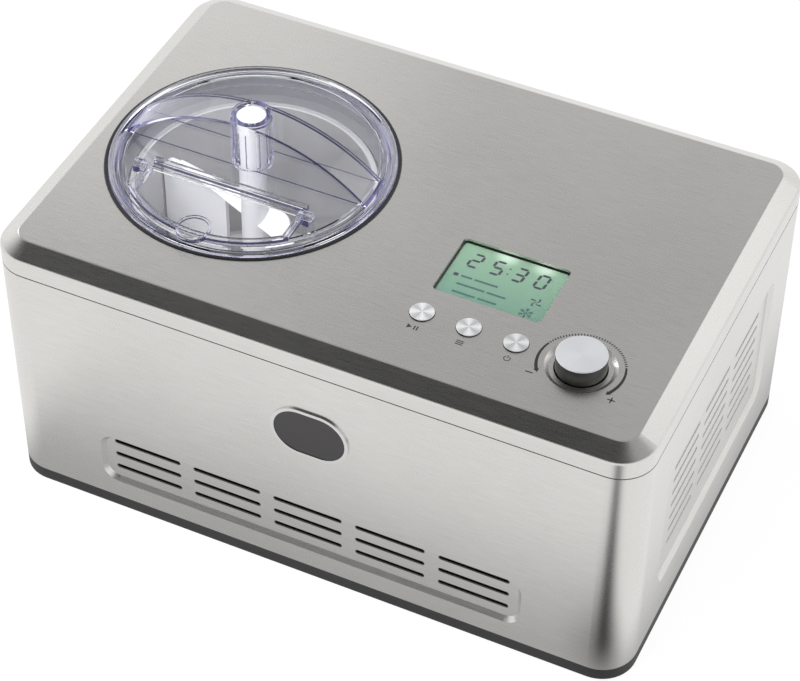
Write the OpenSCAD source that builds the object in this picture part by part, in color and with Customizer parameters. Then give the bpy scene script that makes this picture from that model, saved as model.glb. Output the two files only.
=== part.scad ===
// Countertop ice cream maker with its own compressor: steel case, clear lid with a refill flap,
// lift-out bowl and paddle, geared drive, cooling circuit, fan and a control panel.
// Millimetres, +Z up. The origin is the middle of the footprint, on the surface it stands on.

/* [Case] */
// Width of the case, left to right
body_w = 425; // [400:1:460]
// Depth of the case, front to back
body_d = 286; // [272:1:320]
// Height of the case above its lower edge, without the feet
body_h = 198; // [190:1:230]
// Radius of the upright corners
corner_r = 23; // [18:0.5:28]
// Thickness of the steel sheet
sheet_t = 1; // [0.8:0.1:1.4]
// How far the sloped shoulder of the top cover runs inward
shoulder_in = 11.8; // [9:0.1:14]
// How far the sloped shoulder drops
shoulder_drop = 6.6; // [4.5:0.1:9]
// Height of the top cover's upright skirt
skirt_h = 11.9; // [9:0.1:16]
// Rounding of the top cover's edges
edge_r = 2.6; // [1:0.1:3.5]
// Gap between the top cover and the side wrap
seam_gap = 0.8; // [0.4:0.1:1]

/* [Base and feet] */
// Height of the base tray's visible rim
base_rim_h = 8.8; // [7:0.1:12]
// Thickness of the base tray's floor
base_t = 2.6; // [2:0.1:4]
// Thickness of the base tray's rim
rim_t = 3; // [2.4:0.1:4]
// Height of a foot below the base tray
foot_h = 3; // [2:0.1:8]
// Radius of a foot
foot_r = 9; // [7:0.5:12]
// Distance of the feet from the sides of the case
foot_inset = 30; // [26:1:40]

/* [Front vent] */
// Width of the pressed recess
front_recess_w = 289; // [285:1:310]
// Height of the pressed recess
front_recess_h = 40; // [36:1:46]
// Height of the recess's middle above the case's lower edge
front_recess_z = 43; // [38:1:50]
// Depth of the pressed recesses
recess_depth = 2.8; // [1.5:0.1:3.4]
// Columns of slots at the front
front_cols = 5; // [3:1:5]
// Rows of slots at the front
front_rows = 3; // [2:1:3]
// Distance between the front columns
front_col_pitch = 56; // [52:0.5:57]
// Distance between the front rows
front_row_pitch = 11.2; // [9:0.1:11.6]
// Length of a front slot
front_slot_l = 47; // [30:1:49]
// Height of every slot
slot_h = 3.6; // [2:0.1:5]
// How far the front slots sit above the recess's middle
front_slot_rise = 3; // [0:0.1:3.2]

/* [Side vents] */
// Depth, front to back, of the pressed recess in each side
side_recess_w = 184; // [176:1:200]
// Height of that recess
side_recess_h = 104; // [96:1:112]
// Height of its middle above the case's lower edge
side_recess_z = 91; // [86:1:96]
// Columns of slots in a side
side_cols = 3; // [1:1:3]
// Rows of slots in a side
side_rows = 7; // [3:1:7]
// Distance between the side columns
side_col_pitch = 52; // [46:0.5:54]
// Distance between the side rows
side_row_pitch = 10.9; // [8:0.1:12]
// Length of a side slot
side_slot_l = 43; // [25:1:45]

/* [Rear] */
// Width of the opening that the rear panel closes
rear_open_w = 360; // [330:1:368]
// Rows of slots in the rear panel
rear_rows = 8; // [3:1:9]
// Radius of the mains cord that the gland takes
cord_r = 3.6; // [3:0.1:4.5]

/* [Badge] */
// Width of the oval badge
badge_w = 51.5; // [40:0.5:70]
// Height of the badge
badge_h = 38; // [28:0.5:39]
// How far the badge stands proud of the front
badge_t = 1.2; // [0.6:0.1:2.5]
// Width of the badge's bright rim
badge_rim_w = 2.2; // [1.2:0.1:4]
// Height of the badge's middle above the case's lower edge
badge_z = 128.6; // [110:0.1:140]
// Place of the badge to the right of the middle
badge_x = 4.4; // [-20:0.1:20]

/* [Opening and lid] */
// Distance of the bowl's axis from the left side of the case
lid_inset = 110.5; // [109.5:0.5:113]
// Place of the bowl's axis, front to back
lid_y = -6; // [-12:0.5:4]
// Radius of the opening in the top cover
opening_r = 92.6; // [91:0.1:94]
// Width of the rubber ring round the opening
gasket_w = 2.4; // [1.6:0.1:4]
// Height of the rubber ring above the top cover
gasket_proud = 0.9; // [0.4:0.1:2]
// Thickness of the lid's floor
lid_t = 2.2; // [1.6:0.1:3]
// Height of the lid's rim above the top cover
lid_proud = 3; // [2:0.1:5]
// Depth of the lid's skirt below the top cover
lid_skirt = 10; // [6:0.1:12]
// Rise of the handle's crown above the top cover
handle_rise = 36.5; // [32:0.5:44]
// Width of the handle's strap
handle_w = 25; // [23:0.5:30]
// Thickness of the strap
handle_t = 2.4; // [1.8:0.1:3.5]
// Outer radius of the handle's fluted hub
hub_r = 13; // [12.4:0.1:14]
// Flutes round the hub
hub_flutes = 12; // [6:1:16]

/* [Refill flap] */
// Distance of the flap's hinge in front of the lid's middle
flap_hinge = 40; // [38:0.1:43]
// Distance of the flap's back edge in front of the lid's middle
flap_back = 32.5; // [31.5:0.1:34]
// Half the width of the flap
flap_half_w = 55; // [48:0.5:56]
// Thickness of the flap
flap_t = 2; // [1.6:0.1:3]
// Radius of the flap's finger disc
tab_r = 10.8; // [8:0.1:12]
// Radius of the flap's hinge pins
pin_r = 1.5; // [1.2:0.1:1.8]

/* [Bowl and paddle] */
// Depth of the bowl's rim below the top cover
bowl_drop = 18; // [17:0.1:22]
// Outer radius of the bowl
bowl_r = 75.5; // [70:0.1:76]
// Wall of the bowl
bowl_wall = 1.5; // [1:0.1:2]
// Height of the bowl
bowl_h = 112; // [106:1:113]
// Radius between the bowl's wall and its floor
bowl_round = 9; // [5:0.5:14]
// Radius of the paddle's stem
stem_r = 9; // [8.6:0.1:9.4]
// Thickness of the paddle's blades
blade_t = 3; // [2:0.1:4]
// Width of the paddle's tall wing
wing_w = 50; // [30:1:56]
// Depth of the wing's top below the top cover
wing_drop = 33; // [30:1:60]
// Width of the ramp across the paddle
ramp_w = 17; // [12:0.5:22]
// Fall of the ramp along the paddle, in degrees
ramp_slope = 10; // [4:1:16]
// Lean of the ramp to the side, in degrees
ramp_lean = 45; // [20:1:70]
// Turn of the paddle at rest, in degrees
paddle_turn = -10; // [-40:1:40]

/* [Cooling] */
// Gap between the bowl and the cooling well
well_gap = 0.6; // [0.4:0.1:1]
// Wall of the cooling well
well_wall = 1.5; // [1:0.1:2]
// Radius of the evaporator's tube
coil_r = 4; // [3:0.1:4]
// Turns of the evaporator's coil
coil_turns = 8; // [4:1:9]
// Wall of the foam round the well
foam_wall = 16; // [14:0.5:17]
// Radius of the compressor
compressor_r = 50; // [42:0.5:52]
// Height of the compressor above its mounting plate
compressor_h = 118; // [100:1:124]
// Radius of the refrigerant pipes
pipe_r = 3; // [2.4:0.1:3.4]
// Fins in the condenser
fin_count = 24; // [12:1:30]
// Radius of the fan
fan_r = 50; // [42:0.5:52]
// Blades of the fan
fan_blades = 7; // [5:1:9]

/* [Drive] */
// Module of the gears
gear_m = 1; // [0.9:0.05:1]
// Teeth of each pinion
pinion_teeth = 12; // [12:1:14]
// Teeth of each wheel
wheel_teeth = 48; // [44:1:48]
// Radius of the drive shaft
shaft_r = 5; // [4.6:0.1:5.2]
// Running clearance of shafts in their bores
run_gap = 0.05; // [0.02:0.01:0.1]
// Radius of the drive motor
motor_r = 28; // [22:0.5:29]

/* [Controls] */
// Distance of the display's middle from the right side of the case
lcd_inset = 131.5; // [128:0.5:134]
// Distance of the display's middle from the front of the case
lcd_front = 104.2; // [103:0.1:107]
// Width of the display's window
lcd_w = 69.5; // [60:0.5:72]
// Height of the display's window
lcd_h = 49.3; // [40:0.1:51]
// Depth of the display's window below the top cover
lcd_drop = 1.8; // [1.2:0.1:2.4]
// Distance of the row of buttons from the front of the case
button_inset = 58.2; // [55:0.1:60]
// Distance between the buttons
button_pitch = 29.9; // [27:0.1:31]
// Radius of a button
button_r = 7.5; // [6:0.1:8]
// Travel of a button
button_travel = 1; // [0.5:0.1:1]
// Distance of the knob from the right side of the case
knob_inset = 61.7; // [60:0.1:64]
// Distance of the knob from the front of the case
knob_front = 57.3; // [55:0.1:59]
// Radius of the knob
knob_r = 15.3; // [12:0.1:16]
// Height of the knob above the top cover
knob_h = 10; // [7:0.1:16]
// Outer radius of the pressed dish round the knob
dish_r = 21.5; // [20.5:0.1:23]
// Depth of that dish
dish_drop = 1.6; // [0.8:0.1:2]

/* [Hidden] */
$fn = 64;
eps = 0.01;
elbow = 0.2;
lift_gap = 0.3;
body_gap = 0.4;

// Places that follow the sides of the case
lid_x = lid_inset - body_w / 2;
lcd_x = body_w / 2 - lcd_inset;
knob_x = body_w / 2 - knob_inset;
lcd_y = lcd_front - body_d / 2;
button_y = button_inset - body_d / 2;
knob_y = knob_front - body_d / 2;

// Heights, from the floor up
base_z = foot_h;
floor_z = base_z + base_t;
wrap_z = base_z + base_rim_h;
top_z = base_z + body_h;
under_z = top_z - sheet_t;
skirt_z = top_z - shoulder_drop - skirt_h;
wrap_top = skirt_z - seam_gap;
bowl_rim_z = top_z - bowl_drop;
bowl_z = bowl_rim_z - bowl_h;
bead_h = 3;
flange_z = bowl_rim_z - bead_h;

// Lid and collar, seen from the axis
gasket_in = opening_r - 0.1 - gasket_w;
lid_r = gasket_in - body_gap;
skirt_r = lid_r - 3.2;
skirt_t = 2;
collar_r = skirt_r + 0.6;
collar_t = 2;
collar_out = opening_r + 6.4;
collar_top = under_z;
ledge_t = 2.5;
lid_floor_z = top_z + 0.4;
lid_floor_top = lid_floor_z + lid_t;
floor_r = skirt_r - skirt_t - 1.6;
channel_r = floor_r - 2.6;
stem_gap = 0.3;
stem_top = top_z + handle_rise - 0.8;

// Handle: an arch whose ends stand on the lid's rim
handle_half = lid_r - 5.5;
ridge_drop = 0.2;
handle_foot = top_z + lid_proud - ridge_drop;
arch_top = top_z + handle_rise;
arch_rise = arch_top - handle_foot;
arch_r = (handle_half * handle_half + arch_rise * arch_rise) / (2 * arch_rise);
arch_z = arch_top - arch_r;
web_t = 1.6;
web_in = 0.4;
web_half = handle_half - 4;

// Flap and its opening
flap_r = floor_r - 1.2;
flap_z = lid_floor_top + 0.7;
flap_overlap = 3;
hatch_r = flap_r - flap_overlap;
hatch_half_w = flap_half_w - flap_overlap;
hatch_y = flap_back - 1;
tail_half_w = hatch_half_w - 1;
rib_t = 2;
rib_h = 3;
ear_r = pin_r + 1.5;
pin_z = flap_z + ear_r;
pin_in = 4;
ear_t = 3;
ear_gap = 0.4;
knuckle_l = 5;
tab_h = 3.4;
border_w = 1.6;
border_h = 0.9;

// Bowl, well and foam
bowl_in = bowl_r - bowl_wall;
bead_r = bowl_r + 2.9;
well_in = bowl_r + well_gap;
well_out = well_in + well_wall;
well_flange_r = collar_r + collar_t + 2;
well_floor_z = bowl_z - well_gap - well_wall;
coil_gap = 0.6;
coil_ring = well_out + coil_r + coil_gap;
coil_pitch = (flange_z - well_wall - well_floor_z - 4 * coil_r) / (coil_turns + 0.5);
foam_in = coil_ring + coil_r + lift_gap;
foam_out = foam_in + foam_wall;
foam_top = flange_z - well_wall - 0.2;
foam_floor_t = 6.5;
plate_t = 2;
plate_z = well_floor_z - foam_floor_t - plate_t;
plate_w = 180;
leg_r = 6;
leg_place = plate_w / 2 - 13;

// Chimney of the bowl, shaft and paddle socket
chimney_in = shaft_r + 0.6;
chimney_r = chimney_in + 2.2;
chimney_top = bowl_z + 22;
square_w = 7;
square_z = chimney_top + 2;
square_h = 13;
square_gap = 0.3;
shoulder_gap = 0.5;
paddle_z = bowl_z + bowl_wall + 0.8;
paddle_r = bowl_in - 1;
socket_top = square_z + square_h + 0.8;
stem_bore = chimney_r + 0.6;
foot_stem_r = stem_bore + 2.4;

// Gear train: output wheel on the drive shaft, compound idler, motor pinion
gear_c = gear_m * (wheel_teeth + pinion_teeth) / 2 + 0.05;
tip_add = 0.75;
root_ded = 1.05;
wheel_tip = gear_m * (wheel_teeth / 2 + tip_add);
pinion_tip = gear_m * (pinion_teeth / 2 + tip_add);
case_wall = 2.5;
case_top = plate_z;
cover_t = 2;
upper_gear_z = case_top - cover_t - 0.8 - 7;
upper_gear_h = 7;
lower_gear_h = 5.5;
lower_gear_z = upper_gear_z - 1 - lower_gear_h;
case_floor = lower_gear_z - 1;
case_z = case_floor - case_wall;
case_x0 = -(wheel_tip + 2 + case_wall);
case_x1 = 2 * gear_c + pinion_tip + 4 + case_wall;
case_half = wheel_tip + 2 + case_wall;
axle_r = 2;
lower_shaft_r = shaft_r - 1;
motor_shaft_r = 2.5;
motor_h = case_z - floor_z - 3;
rotor_r = motor_r * 0.55;

// Right-hand side: compressor, condenser and fan
wall_x = body_w / 2 - sheet_t - recess_depth - sheet_t;
condenser_t = 22;
condenser_x = wall_x - 9 - condenser_t;
condenser_w = body_d - 136;
condenser_z = floor_z + 12;
condenser_h = 120;
fin_t = 0.5;
tube_rows = 5;
tube_r = 2.5;
tube_pitch = condenser_h / tube_rows;
shroud_t = 3;
shroud_x = condenser_x - 4 - shroud_t;
shroud_w = 2 * fan_r + 24;
fan_z = condenser_z + condenser_h / 2;
fan_gap = 2;
fan_depth = 16;
hub_fan_r = 18;
fan_motor_r = 16;
foam_side = lid_x + foam_out;
compressor_x = (foam_side + shroud_x - fan_depth) / 2;
compressor_y = body_d / 2 - compressor_r - 33;
mount_plate_z = floor_z + 12;
mount_plate_t = 2;
compressor_z = mount_plate_z + mount_plate_t;
stud_place = compressor_r - 4;
stud_r = 2.5;
grommet_r = 7;

// Controls under the top cover
frame_t = 3;
frame_z = under_z - lcd_drop + sheet_t - frame_t;
frame_x0 = lcd_x - lcd_w / 2 - 10;
frame_x1 = knob_x + dish_r + 3.5;
frame_y0 = min(button_y, knob_y) - dish_r - 6;
frame_y1 = lcd_y + lcd_h / 2 + 12;
lens_t = 1.4;
lens_edge = 2.5;
board_gap = 9;
board_t = 1.6;
board_z = frame_z - board_gap - board_t;
board_top = board_z + board_t;
lcd_t = 5;
button_proud = 1.2;
button_cap = 3.4;
button_flange = 1.4;
flange_gap = 0.2;
plunger_r = 1.6;
switch_h = 4;
switch_bore = plunger_r + 0.3;
encoder_shaft_r = 3;
encoder_neck_r = 4.5;
post_r = 3;

// Rear
panel_t = sheet_t;
panel_overlap = 8;
rear_slot_l = 60;
gland_r = cord_r + 4;
gland_flange_r = gland_r + 3.5;
gland_l = 16;
gland_x = 150;
gland_z = wrap_z + 28;
rear_screw_r = 3;

// ---- Shared shapes ----

// Rounded rectangle about the origin, with true arcs
module round_rect(w, d, r) {
    square([w - 2 * r, d], center = true);
    square([w, d - 2 * r], center = true);
    for (sx = [-1, 1], sy = [-1, 1])
        translate([sx * (w / 2 - r), sy * (d / 2 - r)]) circle(r);
}

// Oval with round ends, lying along X
module oval(l, h) {
    square([l - h, h], center = true);
    for (s = [-1, 1]) translate([s * (l - h) / 2, 0]) circle(h / 2, $fn = 32);
}

// Points brought to whole thousandths, so that faces which should meet do
function snapped(list) = [for (p = list) [round(p.x * 1000) / 1000, round(p.y * 1000) / 1000]];
function reversed(list) = [for (i = [len(list) - 1 : -1 : 0]) list[i]];

// Points of the arc that rounds corner b of the path a-b-c with radius r
function rounded_corner(a, b, c, r, n = 5) =
    let (u = (a - b) / norm(a - b), v = (c - b) / norm(c - b),
         half = acos(u * v) / 2, reach = r / tan(half),
         mid = (u + v) / norm(u + v), centre = b + mid * r / sin(half),
         p = b + u * reach - centre, q = b + v * reach - centre,
         sweep = 180 - 2 * half, turn = p.x * q.y - p.y * q.x > 0 ? 1 : -1)
    [for (i = [0 : n]) let (k = turn * sweep * i / n)
        centre + [p.x * cos(k) - p.y * sin(k), p.x * sin(k) + p.y * cos(k)]];

// Rounded rectangle whose edge follows the chain of [distance from corner centre, height] points
module swept_plate(w, d, r, chain) {
    z0 = chain[0].y;
    z1 = chain[len(chain) - 1].y;
    for (q = [0 : 3]) rotate(90 * q)
        translate([(q % 2 == 0 ? w : d) / 2 - r, (q % 2 == 0 ? d : w) / 2 - r, 0])
            rotate_extrude(angle = 90) polygon(concat([[0, z0]], chain, [[0, z1]]));
    translate([-(w / 2 - r), 0, 0]) rotate([90, 0, 90]) linear_extrude(w - 2 * r) two_sided(d / 2 - r, chain);
    translate([0, d / 2 - r, 0]) rotate([90, 0, 0]) linear_extrude(d - 2 * r) two_sided(w / 2 - r, chain);
}

module two_sided(half, chain) {
    polygon(concat([for (p = chain) [half + p.x, p.y]],
                   [for (p = reversed(chain)) [-half - p.x, p.y]]));
}

// Pocket with sloped sides: its mouth lies at height 0 and its floor at -depth
module sloped_pocket(w, h, r, depth, proud = 0.5) {
    swept_plate(w, h, r, [[r - depth, -depth], [r, 0], [r, proud]]);
}

module ring(r_out, r_in, h) {
    rotate_extrude() translate([r_in, 0]) square([r_out - r_in, h]);
}

module at_axis(z = 0) {
    translate([lid_x, lid_y, z]) children();
}

module slot_field(cols, rows, col_pitch, row_pitch, l) {
    for (i = [0 : cols - 1], j = [0 : rows - 1])
        translate([(i - (cols - 1) / 2) * col_pitch, (j - (rows - 1) / 2) * row_pitch]) oval(l, slot_h);
}

// Straight lengths of round pipe with ball elbows a little wider than the pipe
module pipe(points, r) {
    for (i = [0 : len(points) - 2]) {
        run = points[i + 1] - points[i];
        l = norm(run);
        translate(points[i])
            rotate([0, acos(run.z / l), atan2(run.y, run.x)]) cylinder(h = l, r = r, $fn = 24);
    }
    for (i = [1 : len(points) - 2]) translate(points[i]) sphere(r + elbow, $fn = 24);
}

// Involute gear
function involute(rb, r) = tan(acos(rb / r)) * 180 / PI - acos(rb / r);
module gear_outline(teeth, backlash = 0.2) {
    rp = gear_m * teeth / 2;
    rb = rp * cos(20);
    ra = rp + gear_m * tip_add;
    rr = rp - gear_m * root_ded;
    start = max(rb + eps, rr);
    half = 90 / teeth - backlash / (2 * rp) * 180 / PI / 2 + involute(rb, rp);
    radii = [for (i = [0 : 4]) start + (ra - start) * i / 4];
    flank = concat([[rr, half - involute(rb, start)]], [for (r = radii) [r, half - involute(rb, r)]]);
    polygon([for (t = [0 : teeth - 1], s = [-1, 1], i = [0 : len(flank) - 1])
        let (f = s < 0 ? flank[i] : flank[len(flank) - 1 - i], a = t * 360 / teeth + s * f.y)
            f.x * [cos(a), sin(a)]]);
}

// Closed tube of radius r swept along points, with `sides` faces round it
module swept_tube(points, r, sides = 8) {
    n = len(points);
    function tangent(i) =
        let (d = points[min(i + 1, n - 1)] - points[max(i - 1, 0)]) d / norm(d);
    rings = [for (i = [0 : n - 1])
        let (t = tangent(i), a = cross(t, [0, 0, 1]), u = a / norm(a), v = cross(u, t))
            for (k = [0 : sides - 1])
                points[i] + r * (u * cos(360 * k / sides) + v * sin(360 * k / sides))];
    walls = [for (i = [0 : n - 2], k = [0 : sides - 1])
        let (a = i * sides + k, b = i * sides + (k + 1) % sides) [a, a + sides, b + sides, b]];
    caps = [[for (k = [0 : sides - 1]) k], [for (k = [sides - 1 : -1 : 0]) (n - 1) * sides + k]];
    polyhedron(rings, concat(walls, caps), convexity = 8);
}

// ---- Case ----

shoulder = [
    [corner_r, skirt_z], [corner_r, top_z - shoulder_drop], [corner_r - shoulder_in, top_z],
    [0, top_z]
];
cover_chain = snapped(concat([shoulder[0]],
    rounded_corner(shoulder[0], shoulder[1], shoulder[2], edge_r),
    rounded_corner(shoulder[1], shoulder[2], shoulder[3], edge_r)));
slope = atan(shoulder_in / shoulder_drop);
inner_shift = sheet_t * tan(slope / 2);
cover_inner_chain = [
    [corner_r - sheet_t, skirt_z - 1], [corner_r - sheet_t, top_z - shoulder_drop - inner_shift],
    [corner_r - shoulder_in - sheet_t * tan(45 - slope / 2), under_z]
];

module lcd_hole(grow) {
    translate([lcd_x, lcd_y]) round_rect(lcd_w + 2 * grow, lcd_h + 2 * grow, 3 + grow);
}

// Pressed steel cover with its openings, a turned-down edge at the display and a dish at the knob
module top_cover() {
    color("silver") {
        difference() {
            swept_plate(body_w, body_d, corner_r, cover_chain);
            swept_plate(body_w, body_d, corner_r, cover_inner_chain);
            at_axis(top_z - 3) cylinder(h = 6, r = opening_r, $fn = 128);
            translate([0, 0, top_z - 3]) linear_extrude(6) lcd_hole(0);
            for (i = [-1 : 1]) translate([lcd_x - 1 + i * button_pitch, button_y, top_z - 3])
                cylinder(h = 6, r = button_r + 0.3);
            translate([knob_x, knob_y, top_z - 3]) cylinder(h = 6, r = dish_r - eps);
        }
        translate([0, 0, top_z - lcd_drop]) linear_extrude(lcd_drop - eps) difference() {
            lcd_hole(0.8);
            lcd_hole(0);
        }
        translate([knob_x, knob_y, top_z]) rotate_extrude() polygon([
            [dish_r + 1, 0], [dish_r, 0], [dish_r - 2.6, -dish_drop], [knob_r + 0.7, -dish_drop],
            [knob_r + 0.7, -dish_drop - sheet_t], [dish_r - 2.2, -dish_drop - sheet_t],
            [dish_r + 0.4, -sheet_t], [dish_r + 1, -sheet_t]
        ]);
    }
}

module wrap_ring(out, h) {
    linear_extrude(h) difference() {
        round_rect(body_w - 2 * out, body_d - 2 * out, corner_r - out);
        round_rect(body_w - 2 * out - 2 * sheet_t, body_d - 2 * out - 2 * sheet_t, corner_r - out - sheet_t);
    }
}

recess_round = 11;

// Puts children on an outer face of the case: drawn flat, with their height along the face's normal
module on_front(z) {
    translate([0, -body_d / 2, z]) rotate([90, 0, 0]) children();
}
module on_side(s, z) {
    translate([s * body_w / 2, 0, z]) rotate([90, 0, s * 90]) children();
}

module recess_wall(w, h) {
    spread = sheet_t * tan(22.5);
    translate([0, 0, -sheet_t])
        sloped_pocket(w + 2 * spread, h + 2 * spread, recess_round + spread, recess_depth, 0);
}

// Steel sheet that wraps the front and both sides, with a jogged neck inside the top cover
module housing_wrap() {
    neck = sheet_t + 0.2;
    front_z = base_z + front_recess_z;
    side_z = base_z + side_recess_z;
    color("silver") difference() {
        union() {
            translate([0, 0, wrap_z]) wrap_ring(0, wrap_top - wrap_z);
            translate([0, 0, wrap_top - 5]) wrap_ring(sheet_t, 5);
            translate([0, 0, wrap_top - 5]) wrap_ring(neck, 13 + seam_gap);
            on_front(front_z) recess_wall(front_recess_w, front_recess_h);
            for (s = [-1, 1]) on_side(s, side_z) recess_wall(side_recess_w, side_recess_h);
        }
        on_front(front_z) {
            sloped_pocket(front_recess_w, front_recess_h, recess_round, recess_depth);
            translate([0, front_slot_rise, -recess_depth - 3]) linear_extrude(4)
                slot_field(front_cols, front_rows, front_col_pitch, front_row_pitch, front_slot_l);
        }
        for (s = [-1, 1]) on_side(s, side_z) {
            sloped_pocket(side_recess_w, side_recess_h, recess_round, recess_depth);
            translate([0, 2.7, -recess_depth - 3]) linear_extrude(4)
                slot_field(side_cols, side_rows, side_col_pitch, side_row_pitch, side_slot_l);
        }
        translate([-rear_open_w / 2, body_d / 2 - 6, wrap_z - 1])
            cube([rear_open_w, 10, wrap_top - wrap_z + 20]);
        translate([-panel_half - 1, body_d / 2 - 6, wrap_top - 6])
            cube([2 * panel_half + 2, 6 - sheet_t, 30]);
        for (s = [-1, 1], z = rear_screw_heights)
            translate([s * rear_screw_x, body_d / 2 + 1, z]) rotate([90, 0, 0]) cylinder(h = 4, r = 1.7);
    }
}

panel_z0 = wrap_z;
panel_z1 = wrap_top + 8;
panel_y = body_d / 2 - sheet_t - panel_t;
panel_half = rear_open_w / 2 + panel_overlap;
rear_screw_x = panel_half - panel_overlap / 2;
rear_screw_heights = [panel_z0 + 14, (panel_z0 + wrap_top) / 2, wrap_top - 14];

// Steel rear panel behind the wrap's edges, with vent slots and the hole for the cord gland
module rear_panel() {
    pitch = 12;
    color("silver") translate([0, panel_y + panel_t, 0]) rotate([90, 0, 0])
        linear_extrude(panel_t) difference() {
            translate([-panel_half, panel_z0]) square([2 * panel_half, panel_z1 - panel_z0]);
            translate([0, (panel_z0 + wrap_top) / 2 + 8]) for (i = [-1 : 1], j = [0 : rear_rows - 1])
                translate([i * (rear_slot_l + 14), (j - (rear_rows - 1) / 2) * pitch])
                    oval(rear_slot_l, slot_h);
            translate([gland_x, gland_z]) circle(gland_r + eps);
            for (s = [-1, 1], z = rear_screw_heights) translate([s * rear_screw_x, z]) circle(1.7);
        }
}

module rear_screws() {
    head = badge_t * 0.8;
    color("gainsboro") for (s = [-1, 1], z = rear_screw_heights)
        translate([s * rear_screw_x, body_d / 2, z]) rotate([-90, 0, 0]) {
            difference() {
                cylinder(h = head, r = rear_screw_r, $fn = 32);
                translate([0, 0, head - 0.5]) for (a = [0, 90]) rotate(a) cube([3.2, 0.7, 2], center = true);
            }
            translate([0, 0, -8]) cylinder(h = 8, r = 1.6, $fn = 24);
        }
}

// Dark tray that carries everything, with a lip inside the wrap and seats for what stands on it
module base_tray() {
    lip_out = sheet_t + 0.2;
    color([0.22, 0.22, 0.24]) difference() {
        union() {
            translate([0, 0, base_z]) linear_extrude(base_t) round_rect(body_w, body_d, corner_r);
            translate([0, 0, base_z]) linear_extrude(base_rim_h) difference() {
                round_rect(body_w, body_d, corner_r);
                round_rect(body_w - 2 * rim_t, body_d - 2 * rim_t, corner_r - rim_t);
            }
            translate([0, 0, floor_z - eps]) linear_extrude(wrap_z - floor_z + 6) difference() {
                round_rect(body_w - 2 * lip_out, body_d - 2 * lip_out, corner_r - lip_out);
                round_rect(body_w - 2 * rim_t, body_d - 2 * rim_t, corner_r - rim_t);
            }
        }
        translate([-panel_half - 1, body_d / 2 - rim_t - 1, wrap_z])
            cube([2 * panel_half + 2, rim_t + 1, 10]);
        for (x = [20 : 14 : 130]) translate([x, compressor_y, base_z - 1])
            linear_extrude(base_t + 2) rotate(90) oval(60, 4);
    }
}

module foot_places() {
    for (sx = [-1, 1], sy = [-1, 1])
        translate([sx * (body_w / 2 - foot_inset), sy * (body_d / 2 - foot_inset), 0]) children();
}

module feet() {
    color([0.1, 0.1, 0.1]) foot_places() rotate_extrude() polygon([
        [0, 0], [foot_r - 1, 0], [foot_r, 1], [foot_r - 0.6, foot_h], [0, foot_h]
    ]);
}

// Square steel posts from the base tray to the underside of the top cover
module corner_posts() {
    post = 12;
    color("darkgray") for (sx = [-1, 1], sy = [-1, 1])
        translate([sx * (body_w / 2 - foot_inset), sy * (body_d / 2 - foot_inset), floor_z])
            linear_extrude(under_z - floor_z) difference() {
                square(post, center = true);
                square(post - 2.4, center = true);
            }
}

module badge_plate() {
    color([0.2, 0.19, 0.2]) on_front(base_z + badge_z) translate([badge_x, 0, 0])
        linear_extrude(badge_t * 0.6) oval(badge_w - 2 * badge_rim_w, badge_h - 2 * badge_rim_w);
}

module badge_rim() {
    color("whitesmoke") on_front(base_z + badge_z) translate([badge_x, 0, 0])
        linear_extrude(badge_t) difference() {
            oval(badge_w, badge_h);
            oval(badge_w - 2 * badge_rim_w, badge_h - 2 * badge_rim_w);
        }
}

// Gland for the mains cord, with its flange outside and a nut inside
module cord_gland() {
    nut_h = 5;
    color([0.12, 0.12, 0.12]) translate([gland_x, body_d / 2 + badge_t, gland_z]) rotate([90, 0, 0])
        difference() {
            union() {
                cylinder(h = badge_t + sheet_t, r = gland_flange_r);
                cylinder(h = gland_l, r = gland_r);
                translate([0, 0, badge_t + sheet_t + panel_t])
                    cylinder(h = nut_h, r = gland_flange_r, $fn = 6);
            }
            translate([0, 0, -1]) cylinder(h = gland_l + 2, r = cord_r + 0.2);
        }
}

// ---- Opening and cooling well ----

// Dark collar that lines the opening and carries the lid
module opening_collar() {
    color([0.09, 0.09, 0.1]) at_axis() rotate_extrude($fn = 128) polygon([
        [collar_r, flange_z + 1.5], [collar_r, collar_top], [collar_out, collar_top],
        [collar_out, collar_top - ledge_t], [collar_r + collar_t, collar_top - ledge_t],
        [collar_r + collar_t, flange_z], [bead_r + 0.8, flange_z], [bead_r + 0.8, flange_z + 1.5]
    ]);
}

module opening_gasket() {
    h = gasket_proud + sheet_t;
    out = opening_r - 0.1;
    color([0.05, 0.05, 0.05]) at_axis(collar_top) rotate_extrude($fn = 128) polygon([
        [gasket_in, 0], [out, 0], [out, h - 0.5], [out - 0.5, h], [gasket_in + 0.6, h], [gasket_in, h - 0.6]
    ]);
}

module cooling_well() {
    color("lightgray") at_axis() rotate_extrude($fn = 128) polygon([
        [well_in, well_floor_z + well_wall], [well_in, flange_z], [well_flange_r, flange_z],
        [well_flange_r, flange_z - well_wall], [well_out, flange_z - well_wall], [well_out, well_floor_z],
        [shaft_r + 4, well_floor_z], [shaft_r + 4, well_floor_z + well_wall]
    ]);
}

// Refrigerant tube wound round the well
module evaporator_coil() {
    steps = 36;
    first = well_floor_z + 2 * coil_r;
    color("peru") at_axis() swept_tube([for (i = [0 : coil_turns * steps])
        let (a = i * 360 / steps)
            [coil_ring * cos(a), coil_ring * sin(a), first + coil_pitch * i / steps]], coil_r);
}

module insulation_foam() {
    color("ivory") at_axis() difference() {
        rotate_extrude($fn = 96) polygon([
            [shaft_r + 6, plate_z + plate_t], [shaft_r + 6, well_floor_z], [foam_in, well_floor_z],
            [foam_in, foam_top], [foam_out, foam_top], [foam_out, plate_z + plate_t]
        ]);
        translate([foam_in - 3, -pipe_r - 3, well_floor_z]) cube([foam_wall + 10, 2 * pipe_r + 6, 30]);
        translate([foam_in - 3, -pipe_r - 3, foam_top - 30]) cube([foam_wall + 10, 2 * pipe_r + 6, 31]);
    }
}

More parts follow.
